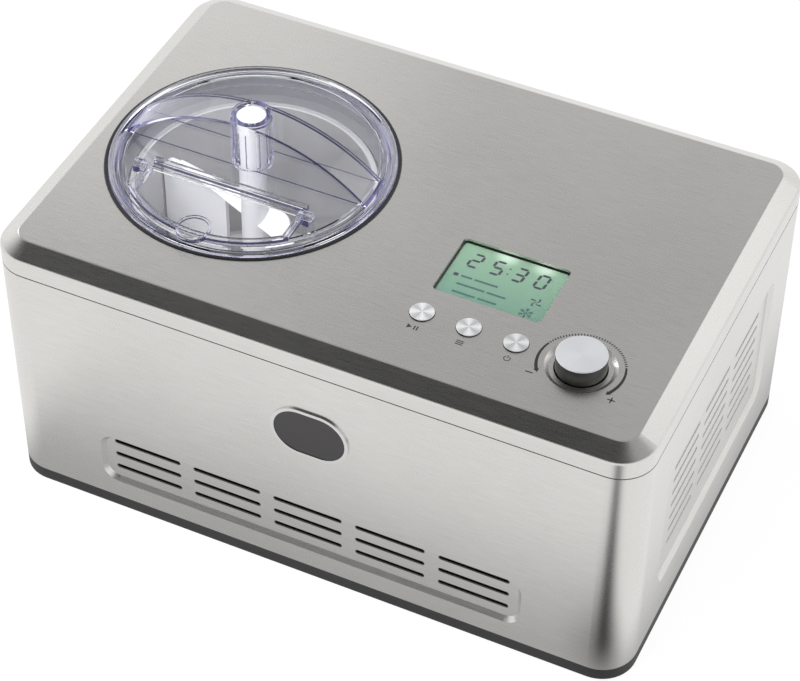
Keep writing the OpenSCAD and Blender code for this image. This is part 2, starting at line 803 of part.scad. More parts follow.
// Steel plate on four legs: the well and its foam stand on it, and the gearbox hangs under it
module support_plate() {
    color("gray") {
        difference() {
            at_axis(plate_z) linear_extrude(plate_t) round_rect(plate_w, plate_w, 12);
            at_axis(plate_z - 1) cylinder(h = plate_t + 2, r = shaft_r + 4);
        }
        for (sx = [-1, 1], sy = [-1, 1]) at_axis(floor_z)
            translate([sx * leg_place, sy * leg_place, 0]) cylinder(h = plate_z - floor_z, r = leg_r);
    }
}

module shaft_bush() {
    low = case_top;
    color("darkgoldenrod") at_axis(low) ring(shaft_r + 4, shaft_r + run_gap, well_floor_z + well_wall - low);
}

module shaft_seal() {
    z = well_floor_z + well_wall;
    color([0.15, 0.15, 0.15]) at_axis(z) ring(shaft_r + 2.5, shaft_r + 0.1, well_gap * 0.5);
}

// ---- Drive ----

module case_outline(inset = 0) {
    translate([(case_x0 + case_x1) / 2, 0])
        round_rect(case_x1 - case_x0 - 2 * inset, 2 * (case_half - inset), 9 - inset);
}

module gearbox_case() {
    color([0.75, 0.75, 0.72]) at_axis() difference() {
        translate([0, 0, case_z]) linear_extrude(case_top - cover_t - case_z) case_outline();
        translate([0, 0, case_floor]) linear_extrude(40) case_outline(case_wall);
        translate([0, 0, case_z - 1]) {
            cylinder(h = 9, r = lower_shaft_r + run_gap);
            translate([gear_c, 0, 0]) cylinder(h = 9, r = axle_r);
            translate([2 * gear_c, 0, 0]) cylinder(h = 9, r = motor_shaft_r + 0.4);
        }
    }
}

module gearbox_cover() {
    color([0.7, 0.7, 0.68]) at_axis(case_top - cover_t) linear_extrude(cover_t) difference() {
        case_outline();
        circle(shaft_r + run_gap);
        translate([gear_c, 0]) circle(axle_r);
    }
}

module idler_axle() {
    color("lightsteelblue") at_axis(case_z) translate([gear_c, 0, 0])
        cylinder(h = case_top - case_z, r = axle_r);
}

module output_gear() {
    color("ghostwhite") at_axis(upper_gear_z) linear_extrude(upper_gear_h) difference() {
        gear_outline(wheel_teeth);
        circle(shaft_r);
        for (a = [0 : 60 : 300]) rotate(a) translate([gear_m * wheel_teeth * 0.3, 0]) circle(3.2);
    }
}

// Compound gear: the wide wheel below takes the motor's pinion, the small one above drives the output
module idler_gear() {
    color("ghostwhite") at_axis() translate([gear_c, 0, 0]) difference() {
        union() {
            translate([0, 0, lower_gear_z]) linear_extrude(lower_gear_h) gear_outline(wheel_teeth);
            translate([0, 0, lower_gear_z + lower_gear_h - eps])
                linear_extrude(upper_gear_z + upper_gear_h - lower_gear_z - lower_gear_h)
                    rotate(180 + 180 / pinion_teeth) gear_outline(pinion_teeth);
        }
        translate([0, 0, lower_gear_z - 1]) cylinder(h = 30, r = axle_r + run_gap);
    }
}

module motor_pinion() {
    color("gold") at_axis(lower_gear_z) translate([2 * gear_c, 0, 0])
        linear_extrude(lower_gear_h) difference() {
            rotate(180 + 180 / pinion_teeth) gear_outline(pinion_teeth);
            circle(motor_shaft_r);
        }
}

module motor_rotor() {
    z = case_z - motor_h;
    color("silver") at_axis() translate([2 * gear_c, 0, 0]) {
        translate([0, 0, z + 2.5]) cylinder(h = lower_gear_z + lower_gear_h - z - 2.5, r = motor_shaft_r);
        translate([0, 0, z + 6]) cylinder(h = motor_h - 12, r = rotor_r);
    }
}

module motor_can() {
    z = case_z - motor_h;
    color("dimgray") at_axis(z) translate([2 * gear_c, 0, 0]) difference() {
        cylinder(h = motor_h, r = motor_r);
        translate([0, 0, 4]) cylinder(h = motor_h - 8, r = rotor_r + 1.2);
        translate([0, 0, 2]) cylinder(h = motor_h, r = motor_shaft_r + run_gap);
    }
}

// Shaft with a square head that turns the paddle
module drive_shaft() {
    color("lightsteelblue") at_axis() {
        translate([0, 0, case_z]) cylinder(h = upper_gear_z - case_z + eps, r = lower_shaft_r);
        translate([0, 0, upper_gear_z]) cylinder(h = square_z - upper_gear_z, r = shaft_r);
        rotate(paddle_turn) translate([-square_w / 2, -square_w / 2, square_z - eps])
            cube([square_w, square_w, square_h]);
    }
}

// ---- Bowl, paddle and lid ----

function quarter(cx, cz, r, from, n = 6) =
    [for (i = [0 : n]) let (a = from + 90 * i / n) [cx + r * cos(a), cz + r * sin(a)]];

module bowl() {
    inner_round = bowl_round - bowl_wall;
    outer = quarter(bowl_r - bowl_round, bowl_z + bowl_round, bowl_round, 270);
    inner = reversed(quarter(bowl_in - inner_round, bowl_z + bowl_wall + inner_round, inner_round, 270));
    bead = quarter(bead_r - 1, bowl_rim_z - 1, 1, 0);
    color("gainsboro") at_axis() rotate_extrude($fn = 128) polygon(concat(
        [[chimney_in, bowl_z]], outer,
        [[bowl_r, flange_z], [bead_r, flange_z]], bead,
        [[bowl_in + 0.6, bowl_rim_z], [bowl_in, bowl_rim_z - 0.6]], inner,
        [[chimney_r, bowl_z + bowl_wall], [chimney_r, chimney_top], [chimney_in, chimney_top]]));
}

wing_top = top_z - wing_drop;
low_wing_w = 12;
low_wing_h = 40;
floor_bar_h = 10;
ramp_z = wing_top - 9.5;
ramp_end = stem_r + 9;
ramp_tip = paddle_r - 13;

// Leaning ramp that widens from the wing, past the stem, to a round end
module paddle_ramp() {
    translate([0, 0, ramp_z]) rotate([0, ramp_slope, 0]) rotate([ramp_lean, 0, 0])
        translate([0, 0, -blade_t / 2]) linear_extrude(blade_t) {
            polygon([[-ramp_tip, -1.5], [ramp_end, -ramp_w / 2], [ramp_end, ramp_w / 2], [-ramp_tip, 1.5]]);
            translate([ramp_end, 0]) circle(ramp_w / 2);
        }
}

// Stirring paddle: stem, tall wing, ramp, low wing and a floor bar
module paddle() {
    wing_round = 9;
    side_z = paddle_z + bowl_round;
    color("white") at_axis() rotate(paddle_turn) difference() {
        union() {
            translate([0, 0, paddle_z]) cylinder(h = stem_top - paddle_z, r = stem_r);
            translate([0, 0, paddle_z]) cylinder(h = socket_top + 4 - paddle_z, r = foot_stem_r);
            translate([0, 0, socket_top + 4 - eps]) cylinder(h = 10, r1 = foot_stem_r, r2 = stem_r);
            paddle_ramp();
            translate([0, blade_t / 2, 0]) rotate([90, 0, 0]) linear_extrude(blade_t) {
                polygon(concat(
                    [[wing_w - paddle_r, wing_top]],
                    quarter(wing_round - paddle_r, wing_top - wing_round, wing_round, 90),
                    [[-paddle_r, side_z], [wing_w - paddle_r, side_z]]));
                translate([paddle_r - low_wing_w, side_z]) square([low_wing_w, low_wing_h]);
                translate([bowl_round - paddle_r, paddle_z])
                    square([2 * (paddle_r - bowl_round), floor_bar_h]);
                for (s = [-1, 1]) translate([s * (paddle_r - bowl_round), side_z]) circle(bowl_round);
            }
        }
        translate([0, 0, paddle_z - 1]) cylinder(h = square_z + shoulder_gap - paddle_z + 1, r = stem_bore);
        translate([-square_w / 2 - square_gap, -square_w / 2 - square_gap, paddle_z])
            cube([square_w + 2 * square_gap, square_w + 2 * square_gap, socket_top - paddle_z]);
    }
}

module flap_outline(r, half_w, hinge) {
    intersection() {
        circle(r, $fn = 128);
        translate([-half_w, -r - 1]) square([2 * half_w, r + 1 - hinge]);
    }
}

// Clear lid: floor, ringed rim, skirt, and the knuckles of the flap's hinge
module lid() {
    rim_top = top_z + lid_proud;
    color([0.85, 0.88, 0.95, 0.5]) at_axis() difference() {
        union() {
            rotate_extrude($fn = 128) polygon([
                [0, lid_floor_z], [channel_r, lid_floor_z], [channel_r + 0.8, lid_floor_z - 0.6],
                [skirt_r - skirt_t, lid_floor_z - 0.6], [skirt_r - skirt_t, top_z - lid_skirt],
                [skirt_r, top_z - lid_skirt], [skirt_r, collar_top + 0.2], [lid_r, collar_top + 0.2],
                [lid_r, rim_top - 1], [lid_r - 1, rim_top], [skirt_r + 0.6, rim_top],
                [skirt_r - 0.6, rim_top - 1.4], [floor_r + 0.6, rim_top - 1.4],
                [floor_r, rim_top - ridge_drop], [floor_r - 1.4, rim_top - ridge_drop],
                [channel_r, lid_floor_top - 0.6], [channel_r - 1, lid_floor_top - 0.6],
                [channel_r - 1.6, lid_floor_top], [0, lid_floor_top]
            ]);
            for (s = [-1, 1]) translate([s * (flap_half_w + ear_gap + knuckle_l / 2), -flap_hinge, 0])
                flap_knuckle();
            translate([-hatch_half_w - 1, 1.3 - hatch_y, lid_floor_top - eps])
                cube([2 * hatch_half_w + 2, rib_t, rib_h]);
        }
        translate([0, 0, lid_floor_z - 2]) linear_extrude(8) flap_outline(hatch_r, hatch_half_w, hatch_y);
        translate([0, 0, lid_floor_z - 2]) cylinder(h = 6, r = hub_r);
        for (s = [-1, 1]) translate([s * (flap_half_w - pin_in), -flap_hinge, pin_z])
            rotate([0, s * 90, 0]) cylinder(h = pin_in + ear_gap + knuckle_l + 1, r = pin_r, $fn = 32);
    }
}

module flap_knuckle() {
    translate([-knuckle_l / 2, -ear_r - 1, lid_floor_top - eps])
        cube([knuckle_l, 2 * ear_r + 2, pin_z - lid_floor_top]);
    translate([-knuckle_l / 2, 0, pin_z]) rotate([0, 90, 0]) cylinder(h = knuckle_l, r = ear_r + 1, $fn = 32);
}

module flap_pins() {
    color("silver") at_axis() for (s = [-1, 1]) translate([s * (flap_half_w - pin_in), -flap_hinge, pin_z])
        rotate([0, s * 90, 0]) cylinder(h = pin_in + ear_gap + knuckle_l, r = pin_r, $fn = 32);
}

// Hinged refill flap with its ears and a finger disc
module flap() {
    color([0.85, 0.88, 0.95, 0.5]) at_axis() difference() {
        union() {
            translate([0, 0, flap_z]) linear_extrude(flap_t) {
                flap_outline(flap_r, flap_half_w, flap_hinge - 1.5);
                flap_outline(flap_r, tail_half_w, flap_back);
            }
            translate([0, 0, flap_z + flap_t - eps]) linear_extrude(border_h) difference() {
                flap_outline(flap_r, flap_half_w, flap_hinge + 6);
                flap_outline(flap_r - border_w, flap_half_w - border_w, flap_hinge);
            }
            translate([0, 0, lid_floor_z + 0.4]) linear_extrude(flap_z - lid_floor_z - 0.4 + eps)
                difference() {
                    flap_outline(hatch_r - 0.5, hatch_half_w - 0.5, hatch_y + 4);
                    flap_outline(hatch_r - 2, hatch_half_w - 2, hatch_y + 5.5);
                }
            for (s = [-1, 1]) translate([s * (flap_half_w - ear_t / 2) - ear_t / 2, -flap_hinge, 0]) {
                translate([0, 0, pin_z]) rotate([0, 90, 0]) cylinder(h = ear_t, r = ear_r, $fn = 32);
                translate([0, -ear_r - 2, flap_z]) cube([ear_t, ear_r + 2, flap_t + 1.5]);
            }
            translate([0, -(flap_r - 4.5), flap_z]) cylinder(h = tab_h, r = tab_r);
        }
        for (s = [-1, 1]) translate([s * (flap_half_w - 5), -flap_hinge, pin_z])
            rotate([0, s * 90, 0]) cylinder(h = 10, r = pin_r + run_gap);
        translate([0, -(flap_r - 4.5), flap_z + flap_t]) cylinder(h = tab_h, r = tab_r - 1.6);
    }
}

// Strap in an arc from rim to rim, with a web down to the lid's floor on each side
module handle_strap() {
    reach = asin(handle_half / arch_r);
    side = handle_w / 2;
    difference() {
        translate([0, 0, arch_z]) rotate([90, 0, 0]) rotate(90 - reach)
            rotate_extrude(angle = 2 * reach, $fn = 180) translate([arch_r - handle_t, -side])
                square([handle_t, handle_w]);
        translate([-100, -side - 1, handle_foot - 40]) cube([200, handle_w + 2, 40]);
    }
    for (y = [web_t + web_in - side, side - web_in]) translate([0, y, 0]) rotate([90, 0, 0])
        linear_extrude(web_t) intersection() {
            translate([0, arch_z]) circle(arch_r - handle_t / 2, $fn = 180);
            translate([-web_half, lid_floor_top]) square([2 * web_half, arch_rise + 10]);
        }
}

module hub_tube() {
    top = arch_top + 0.5;
    difference() {
        union() {
            translate([0, 0, lid_floor_z - 3]) cylinder(h = 2, r1 = hub_r - 2, r2 = hub_r - eps);
            translate([0, 0, lid_floor_z - 1]) cylinder(h = top - lid_floor_z + 1, r = hub_r - eps);
        }
        for (i = [0 : hub_flutes - 1]) rotate((i + 0.5) * 360 / hub_flutes)
            translate([hub_r + 0.6, 0, lid_floor_top + 1])
                cylinder(h = arch_top - handle_t - 5 - lid_floor_top, r = 1.6, $fn = 24);
    }
}

// Arched strap from rim to rim, with the fluted tube that steadies the paddle's stem
module lid_handle() {
    color([0.85, 0.88, 0.95, 0.5]) at_axis() difference() {
        union() {
            handle_strap();
            hub_tube();
        }
        translate([0, 0, lid_floor_z - 4]) cylinder(h = arch_rise + 20, r = stem_r + stem_gap);
    }
}

// ---- Cooling circuit ----

shell_t = 3;
shell_joint = compressor_h * 0.5;
shell_lip = 3;
shell_round = 12;
dome_round = 22;
pump_r = compressor_r * 0.66;
pump_h = compressor_h * 0.62;
pump_leg = 10;

// Lower half of the sealed shell, with the lip that the dome is welded to
module compressor_shell() {
    inner = compressor_r - shell_t;
    wall = quarter(compressor_r - shell_round, shell_round, shell_round, 270);
    hollow = quarter(inner - shell_round, shell_round + shell_t, shell_round, 270);
    color([0.1, 0.1, 0.11]) translate([compressor_x, compressor_y, compressor_z])
        rotate_extrude($fn = 96) polygon(concat(
            [[0, 0]], wall,
            [[compressor_r, shell_joint], [compressor_r + shell_lip, shell_joint],
             [compressor_r + shell_lip, shell_joint + shell_lip], [inner, shell_joint + shell_lip]],
            reversed(hollow), [[0, shell_t]]));
}

module compressor_dome() {
    h = compressor_h - shell_joint - shell_lip;
    out = compressor_r - 1;
    color([0.12, 0.12, 0.13]) difference() {
        translate([compressor_x, compressor_y, compressor_z + shell_joint + shell_lip])
            rotate_extrude($fn = 96) polygon(concat(
                [[out - shell_t, 0], [out, 0]], quarter(out - dome_round, h - dome_round, dome_round, 0),
                [[0, h], [0, h - shell_t]],
                reversed(quarter(out - dome_round, h - dome_round, dome_round - shell_t, 0))));
        translate(suction_end) rotate([0, -90, 0]) cylinder(h = 30, r = pipe_r, $fn = 24);
        translate(discharge_end) rotate([90, 0, 0]) cylinder(h = 30, r = tube_r, $fn = 24);
    }
}

// Pump and its motor as one block on three legs
module compressor_pump() {
    color("gray") translate([compressor_x, compressor_y, compressor_z + shell_t]) {
        translate([0, 0, pump_leg]) cylinder(h = pump_h, r = pump_r);
        translate([0, 0, pump_leg + pump_h - 1]) cylinder(h = pump_leg, r = pump_r * 0.55);
        for (a = [0, 120, 240]) rotate(a) translate([pump_r * 0.7, 0, 0]) cylinder(h = pump_leg + 1, r = 4);
    }
}

module stud_places() {
    for (sx = [-1, 1], sy = [-1, 1])
        translate([compressor_x + sx * stud_place, compressor_y + sy * stud_place, 0]) children();
}

module compressor_plate() {
    side = 2 * stud_place + 20;
    color([0.15, 0.15, 0.16]) difference() {
        translate([compressor_x, compressor_y, mount_plate_z]) linear_extrude(mount_plate_t)
            round_rect(side, side, 10);
        stud_places() translate([0, 0, mount_plate_z - 1]) cylinder(h = mount_plate_t + 2, r = stud_r + 1.5);
    }
}

module compressor_grommets() {
    color([0.07, 0.07, 0.07]) stud_places() {
        translate([0, 0, floor_z]) ring(grommet_r, stud_r, mount_plate_z - floor_z);
        translate([0, 0, mount_plate_z]) ring(stud_r + 1.5, stud_r, mount_plate_t);
        translate([0, 0, mount_plate_z + mount_plate_t]) ring(grommet_r, stud_r, 3);
    }
}

module compressor_studs() {
    top = mount_plate_z + mount_plate_t + 3;
    color("silver") stud_places() {
        translate([0, 0, floor_z]) cylinder(h = top + 6 - floor_z, r = stud_r);
        translate([0, 0, top]) cylinder(h = 4, r = 4.6, $fn = 6);
    }
}

tube_x = [condenser_x + condenser_t * 0.25, condenser_x + condenser_t * 0.75];
function tube_z(row) = condenser_z + (row + 0.5) * tube_pitch;

// Aluminium fins between two end plates that stand on the base tray
module condenser_fins() {
    gap = (condenser_w - 8) / (fin_count - 1);
    color("lightgray") {
        for (i = [0 : fin_count - 1]) condenser_sheet(-condenser_w / 2 + 4 + i * gap, fin_t, condenser_z);
        for (y = [-condenser_w / 2 - 1, condenser_w / 2]) condenser_sheet(y, 1, floor_z);
    }
}

module condenser_sheet(y, t, z0) {
    translate([0, y + t, 0]) rotate([90, 0, 0]) linear_extrude(t) difference() {
        translate([condenser_x, z0]) square([condenser_t, condenser_z + condenser_h - z0]);
        for (x = tube_x, row = [0 : tube_rows - 1]) translate([x, tube_z(row)]) circle(tube_r, $fn = 24);
    }
}

// One serpentine tube through the fins: up the first column and down the second
module condenser_tubes() {
    reach = condenser_w / 2 + 3;
    color("peru") {
        for (x = tube_x, row = [0 : tube_rows - 1]) translate([x, reach, tube_z(row)])
            rotate([90, 0, 0]) cylinder(h = 2 * reach, r = tube_r, $fn = 24);
        for (x = tube_x, row = [0 : tube_rows - 2]) {
            s = row % 2 == 0 ? 1 : -1;
            translate([x, s * reach, tube_z(row) + tube_pitch / 2]) rotate([90, 0, s > 0 ? 90 : 270])
                rotate([0, 0, -90]) rotate_extrude(angle = 180, $fn = 48)
                    translate([tube_pitch / 2, 0]) circle(tube_r, $fn = 24);
        }
        translate([0, (tube_rows % 2 == 0 ? -1 : 1) * reach, tube_z(tube_rows - 1)])
            pipe([[tube_x[0], 0, 0], [tube_x[0], 5, 0], [tube_x[1], 5, 0], [tube_x[1], 0, 0]], tube_r);
    }
}

module fan_shroud() {
    h = fan_z + shroud_w / 2 - floor_z;
    color([0.14, 0.14, 0.15]) difference() {
        union() {
            translate([shroud_x, -shroud_w / 2, floor_z]) cube([shroud_t, shroud_w, h]);
            translate([shroud_x - fan_depth, 0, fan_z]) rotate([0, 90, 0])
                cylinder(h = fan_depth + 1, r = fan_r + fan_gap + 2);
            translate([shroud_x - fan_depth, -3, fan_z - fan_r - 3]) cube([2, 6, 2 * fan_r + 6]);
            translate([shroud_x - fan_depth, -fan_r - 3, fan_z - 3]) cube([2, 2 * fan_r + 6, 6]);
            translate([shroud_x - fan_depth, 0, fan_z]) rotate([0, 90, 0])
                cylinder(h = 2, r = fan_motor_r + 3);
        }
        translate([shroud_x - fan_depth + 2, 0, fan_z]) rotate([0, 90, 0])
            cylinder(h = fan_depth + 10, r = fan_r + fan_gap);
        translate([shroud_x - fan_depth - 1, 0, fan_z]) rotate([0, 90, 0]) difference() {
            cylinder(h = 4, r = fan_r + fan_gap);
            translate([0, 0, -1]) cylinder(h = 8, r = fan_motor_r + 3);
            translate([-fan_r - 3, -3, -1]) cube([2 * fan_r + 6, 6, 8]);
            translate([-3, -fan_r - 3, -1]) cube([6, 2 * fan_r + 6, 8]);
        }
        translate([shroud_x - fan_depth - 1, 0, fan_z]) rotate([0, 90, 0]) cylinder(h = 4, r = 5);
    }
}

module fan_motor() {
    color("dimgray") translate([shroud_x - fan_depth, 0, fan_z]) rotate([0, -90, 0]) difference() {
        cylinder(h = 22, r = fan_motor_r);
        translate([0, 0, -1]) cylinder(h = 19, r = 1.5 + run_gap);
    }
}

module fan_rotor() {
    color([0.1, 0.1, 0.1]) translate([shroud_x - fan_depth + 3, 0, fan_z]) rotate([0, 90, 0]) {
        cylinder(h = 11, r = hub_fan_r);
        translate([0, 0, -20]) cylinder(h = 21, r = 1.5, $fn = 24);
        intersection() {
            cylinder(h = 11, r = fan_r);
            for (i = [0 : fan_blades - 1]) rotate(i * 360 / fan_blades)
                translate([hub_fan_r - 2, 0, 5.5]) rotate([28, 0, 0]) translate([0, -15, -0.8])
                    cube([fan_r, 30, 1.6]);
        }
    }
}

line_x = foam_side + pipe_r + 4;
drier_x = line_x + 14;
drier_y = -20;
drier_r = 9;
drier_low = floor_z + 22;
drier_body = 50;
drier_cone = 8;
drier_top = drier_low + drier_body + 2 * drier_cone;

// Copper filter drier clipped to an upright from the base tray
module filter_drier() {
    color("peru") translate([drier_x, drier_y, drier_low]) {
        cylinder(h = drier_cone, r1 = pipe_r, r2 = drier_r);
        translate([0, 0, drier_cone]) cylinder(h = drier_body, r = drier_r);
        translate([0, 0, drier_cone + drier_body]) cylinder(h = drier_cone, r1 = drier_r, r2 = pipe_r);
        translate([-6, drier_r - 2, floor_z - drier_low]) cube([12, 4, drier_low - floor_z + drier_body]);
    }
}

coil_side = lid_x + coil_ring + coil_r + 1;
suction_end = [compressor_x - compressor_r + 3, compressor_y, compressor_z + compressor_h * 0.6];
discharge_end = [compressor_x + 20, compressor_y - compressor_r + 10, compressor_z + compressor_h * 0.73];

module suction_line() {
    z = foam_top - 15;
    color("peru") pipe([
        [coil_side, lid_y, z], [line_x, lid_y, z], [line_x, compressor_y, z],
        [line_x, compressor_y, suction_end.z], suction_end
    ], pipe_r);
}

module discharge_line() {
    y = -condenser_w / 2 - tube_pitch / 2 - 11;
    color("peru") pipe([
        discharge_end, [discharge_end.x, y, discharge_end.z], [tube_x[1], y, discharge_end.z],
        [tube_x[1], y, tube_z(0)], [tube_x[1], -condenser_w / 2 - 3, tube_z(0)]
    ], tube_r);
}

// Liquid pipe from the condenser to the drier, and the capillary from the drier to the coil
module liquid_line() {
    y0 = -condenser_w / 2 - 3;
    y1 = y0 - 14;
    turn_x = shroud_x - fan_depth - 28;
    high = drier_top + 4;
    low = drier_low - 10;
    cold_z = well_floor_z + 15;
    color("peru") {
        pipe([[tube_x[0], y0, tube_z(0)], [tube_x[0], y1, tube_z(0)], [turn_x, y1, tube_z(0)],
              [turn_x, y1, high], [drier_x, y1, high], [drier_x, drier_y, high],
              [drier_x, drier_y, drier_top]], 2);
        pipe([[drier_x, drier_y, drier_low], [drier_x, drier_y, low], [line_x, drier_y, low],
              [line_x, lid_y, low], [line_x, lid_y, cold_z], [coil_side, lid_y, cold_z]], 1.5);
    }
}

// ---- Controls ----

module button_places(i) {
    translate([lcd_x - 1 + i * button_pitch, button_y, 0]) children();
}

// Plastic carrier under the top cover: display pocket, button guides and posts for the board
module control_frame() {
    color([0.13, 0.13, 0.14]) difference() {
        union() {
            translate([frame_x0, frame_y0, frame_z])
                cube([frame_x1 - frame_x0, frame_y1 - frame_y0, frame_t]);
            for (x = frame_post_x, y = frame_post_y) translate([x, y, board_top])
                cylinder(h = under_z - board_top, r = post_r);
        }
        translate([0, 0, frame_z - 1]) linear_extrude(frame_t + 5) lcd_hole(-0.8);
        translate([0, 0, frame_z + frame_t - lens_t]) linear_extrude(lens_t + 5) lcd_hole(lens_edge + 0.2);
        for (i = [-1 : 1]) button_places(i) translate([0, 0, frame_z - 1])
            cylinder(h = frame_t + 5, r = button_r + 0.2);
        translate([knob_x, knob_y, frame_z - 1]) cylinder(h = frame_t + 5, r = dish_r + 1.6);
    }
}
frame_post_x = [frame_x0 + 6, frame_x1 - 6];
frame_post_y = [frame_y0 + 6, frame_y1 - 6];

module lcd_window() {
    color([0.7, 0.85, 0.8, 0.5]) translate([0, 0, frame_z + frame_t - lens_t]) linear_extrude(lens_t)
        lcd_hole(lens_edge);
}

module lcd_module() {
    color([0.55, 0.8, 0.65]) translate([lcd_x, lcd_y, frame_z + frame_t - lens_t - lcd_t])
        linear_extrude(lcd_t) round_rect(lcd_w - 2, lcd_h - 2, 2);
}

module control_board() {
    color("darkgreen") difference() {
        translate([frame_x0, frame_y0, board_z]) cube([frame_x1 - frame_x0, frame_y1 - frame_y0, board_t]);
        for (x = frame_post_x, y = frame_post_y) translate([x, y, board_z - 1])
            cylinder(h = board_t + 2, r = 1.5);
    }
}

module tact_switches() {
    color([0.2, 0.2, 0.2]) for (i = [-1 : 1]) button_places(i) translate([0, 0, board_top]) difference() {
        translate([-4, -4, 0]) cube([8, 8, switch_h]);
        translate([0, 0, 1]) cylinder(h = switch_h, r = switch_bore, $fn = 24);
    }
}

button_edge = 0.4;

module push_button(i) {
    foot = frame_z - flange_gap;
    tall = top_z + button_proud - foot;
    color("whitesmoke") button_places(i) {
        translate([0, 0, foot]) rotate_extrude() polygon([
            [0, 0], [button_r, 0], [button_r, tall - button_edge],
            [button_r - button_edge, tall], [0, tall]
        ]);
        translate([0, 0, foot - button_flange]) cylinder(h = button_flange + eps, r = button_r + 1.2);
        translate([0, 0, board_top + switch_h - 1.4])
            cylinder(h = foot - board_top - switch_h + 1.4, r = plunger_r, $fn = 24);
    }
}
module start_button() push_button(-1);
module menu_button() push_button(0);
module power_button() push_button(1);

module encoder() {
    color("slategray") translate([knob_x, knob_y, board_top]) difference() {
        union() {
            translate([-7, -7, 0]) cube([14, 14, 6]);
            cylinder(h = board_gap, r = encoder_neck_r);
        }
        translate([0, 0, 1]) cylinder(h = 30, r = encoder_shaft_r + run_gap);
    }
}

module encoder_shaft() {
    color("lightsteelblue") translate([knob_x, knob_y, board_top + 1.2])
        cylinder(h = top_z + knob_h - 3 - board_top - 1.2, r = encoder_shaft_r);
}

// Turned aluminium cap pressed on the encoder's shaft
module knob() {
    low = top_z - dish_drop + 0.5;
    top = top_z + knob_h;
    color("whitesmoke") translate([knob_x, knob_y, 0]) rotate_extrude($fn = 96) polygon([
        [encoder_shaft_r, low], [knob_r, low], [knob_r, top - 0.5], [knob_r - 0.5, top], [0, top],
        [0, top - 3], [encoder_shaft_r, top - 3]
    ]);
}

board_l = 86;
board_w = 44;
spacer_h = 6;
spacer_in = 6;

// Mains board on four spacers, with its transformer, capacitors and relays
module power_board() {
    translate([foam_side + 30, 14 - body_d / 2, floor_z]) {
        color("gray") for (x = [spacer_in, board_l - spacer_in], y = [spacer_in, board_w - spacer_in])
            translate([x, y, 0]) cylinder(h = spacer_h, r = 3);
        color("darkgreen") translate([0, 0, spacer_h]) cube([board_l, board_w, board_t]);
        translate([0, 0, spacer_h + board_t]) {
            color("goldenrod") translate([12, 8, 0]) cube([26, 26, 22]);
            color("navy") for (x = [48, 62]) translate([x, 12, 0]) cylinder(h = 20, r = 5.5);
            color("black") for (x = [46, 62]) translate([x, 24, 0]) cube([12, 14, 14]);
        }
    }
}

top_cover();
housing_wrap();
rear_panel();
base_tray();
feet();
corner_posts();
badge_plate();
badge_rim();
rear_screws();
cord_gland();
opening_collar();
opening_gasket();
cooling_well();
evaporator_coil();
insulation_foam();
support_plate();
shaft_bush();
shaft_seal();
gearbox_case();
gearbox_cover();
idler_axle();
motor_can();
compressor_shell();
compressor_dome();
compressor_pump();
compressor_plate();
compressor_grommets();
compressor_studs();
condenser_fins();
condenser_tubes();
fan_shroud();
fan_motor();
filter_drier();
suction_line();
discharge_line();
liquid_line();
control_frame();
control_board();
lcd_module();
lcd_window();
tact_switches();
encoder();
power_board();
bowl();
lid();
lid_handle();
flap();
flap_pins();
paddle();
drive_shaft();
output_gear();
idler_gear();
motor_rotor();
motor_pinion();
fan_rotor();
start_button();
menu_button();
power_button();
knob();
encoder_shaft();
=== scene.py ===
import math

import bmesh
import bpy
from mathutils import Matrix, Vector


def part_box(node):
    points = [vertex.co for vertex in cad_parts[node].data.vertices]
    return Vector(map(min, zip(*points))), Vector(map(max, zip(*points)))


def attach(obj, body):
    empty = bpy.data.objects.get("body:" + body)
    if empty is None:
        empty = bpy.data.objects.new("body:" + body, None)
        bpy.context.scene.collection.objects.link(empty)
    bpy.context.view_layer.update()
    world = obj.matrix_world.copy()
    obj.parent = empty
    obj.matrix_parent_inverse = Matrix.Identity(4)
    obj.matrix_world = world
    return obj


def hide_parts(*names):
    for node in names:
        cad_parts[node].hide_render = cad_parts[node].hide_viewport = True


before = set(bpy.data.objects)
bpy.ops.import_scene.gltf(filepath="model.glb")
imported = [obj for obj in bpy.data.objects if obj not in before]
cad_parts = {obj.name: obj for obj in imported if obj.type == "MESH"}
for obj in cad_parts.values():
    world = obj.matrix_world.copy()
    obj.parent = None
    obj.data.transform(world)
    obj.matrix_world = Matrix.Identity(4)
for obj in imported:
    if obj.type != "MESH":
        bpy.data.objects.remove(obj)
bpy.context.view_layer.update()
mm = 0.001


def paint(mesh, material):
    mesh.materials.clear()
    mesh.materials.append(material)


def newObject(name, mesh, body, material):
    piece = bpy.data.objects.new(name, mesh)
    bpy.context.collection.objects.link(piece)
    paint(mesh, material)
    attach(piece, body)
    return piece


def dress(node, material):
    paint(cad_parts[node].data, material)


def nodeSpan(node):
    low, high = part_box(node)
    return low, high, (low + high) / 2


# Node trees: a value that is a socket is linked, any other is set

def feed(tree, node, inputs):
    for label, value in inputs.items():
        if isinstance(value, bpy.types.NodeSocket):
            tree.links.new(value, node.inputs[label])
        else:
            node.inputs[label].default_value = value


def addNode(tree, kind, inputs=None, **settings):
    node = tree.nodes.new(kind)
    for label, value in settings.items():
        setattr(node, label, value)
    feed(tree, node, inputs or {})
    return node


def newTree(name, kind, inputs, outputs):
    # Gives back the tree, the sockets of its named inputs, and its end node
    tree = bpy.data.node_groups.new(name, kind)
    for way, sockets in (("INPUT", inputs), ("OUTPUT", outputs)):
        for label, socketKind in sockets.items():
            tree.interface.new_socket(label, in_out=way, socket_type="NodeSocket" + socketKind)
    return tree, tree.nodes.new("NodeGroupInput").outputs, tree.nodes.new("NodeGroupOutput")


def newMaterial(name, sockets):
    material = bpy.data.materials.new(name)
    material.use_nodes = True
    tree = material.node_tree
    shader = tree.nodes["Principled BSDF"]
    feed(tree, shader, sockets)
    return material, tree, shader


def objectSpot(tree):
    return addNode(tree, "ShaderNodeTexCoord").outputs["Object"]


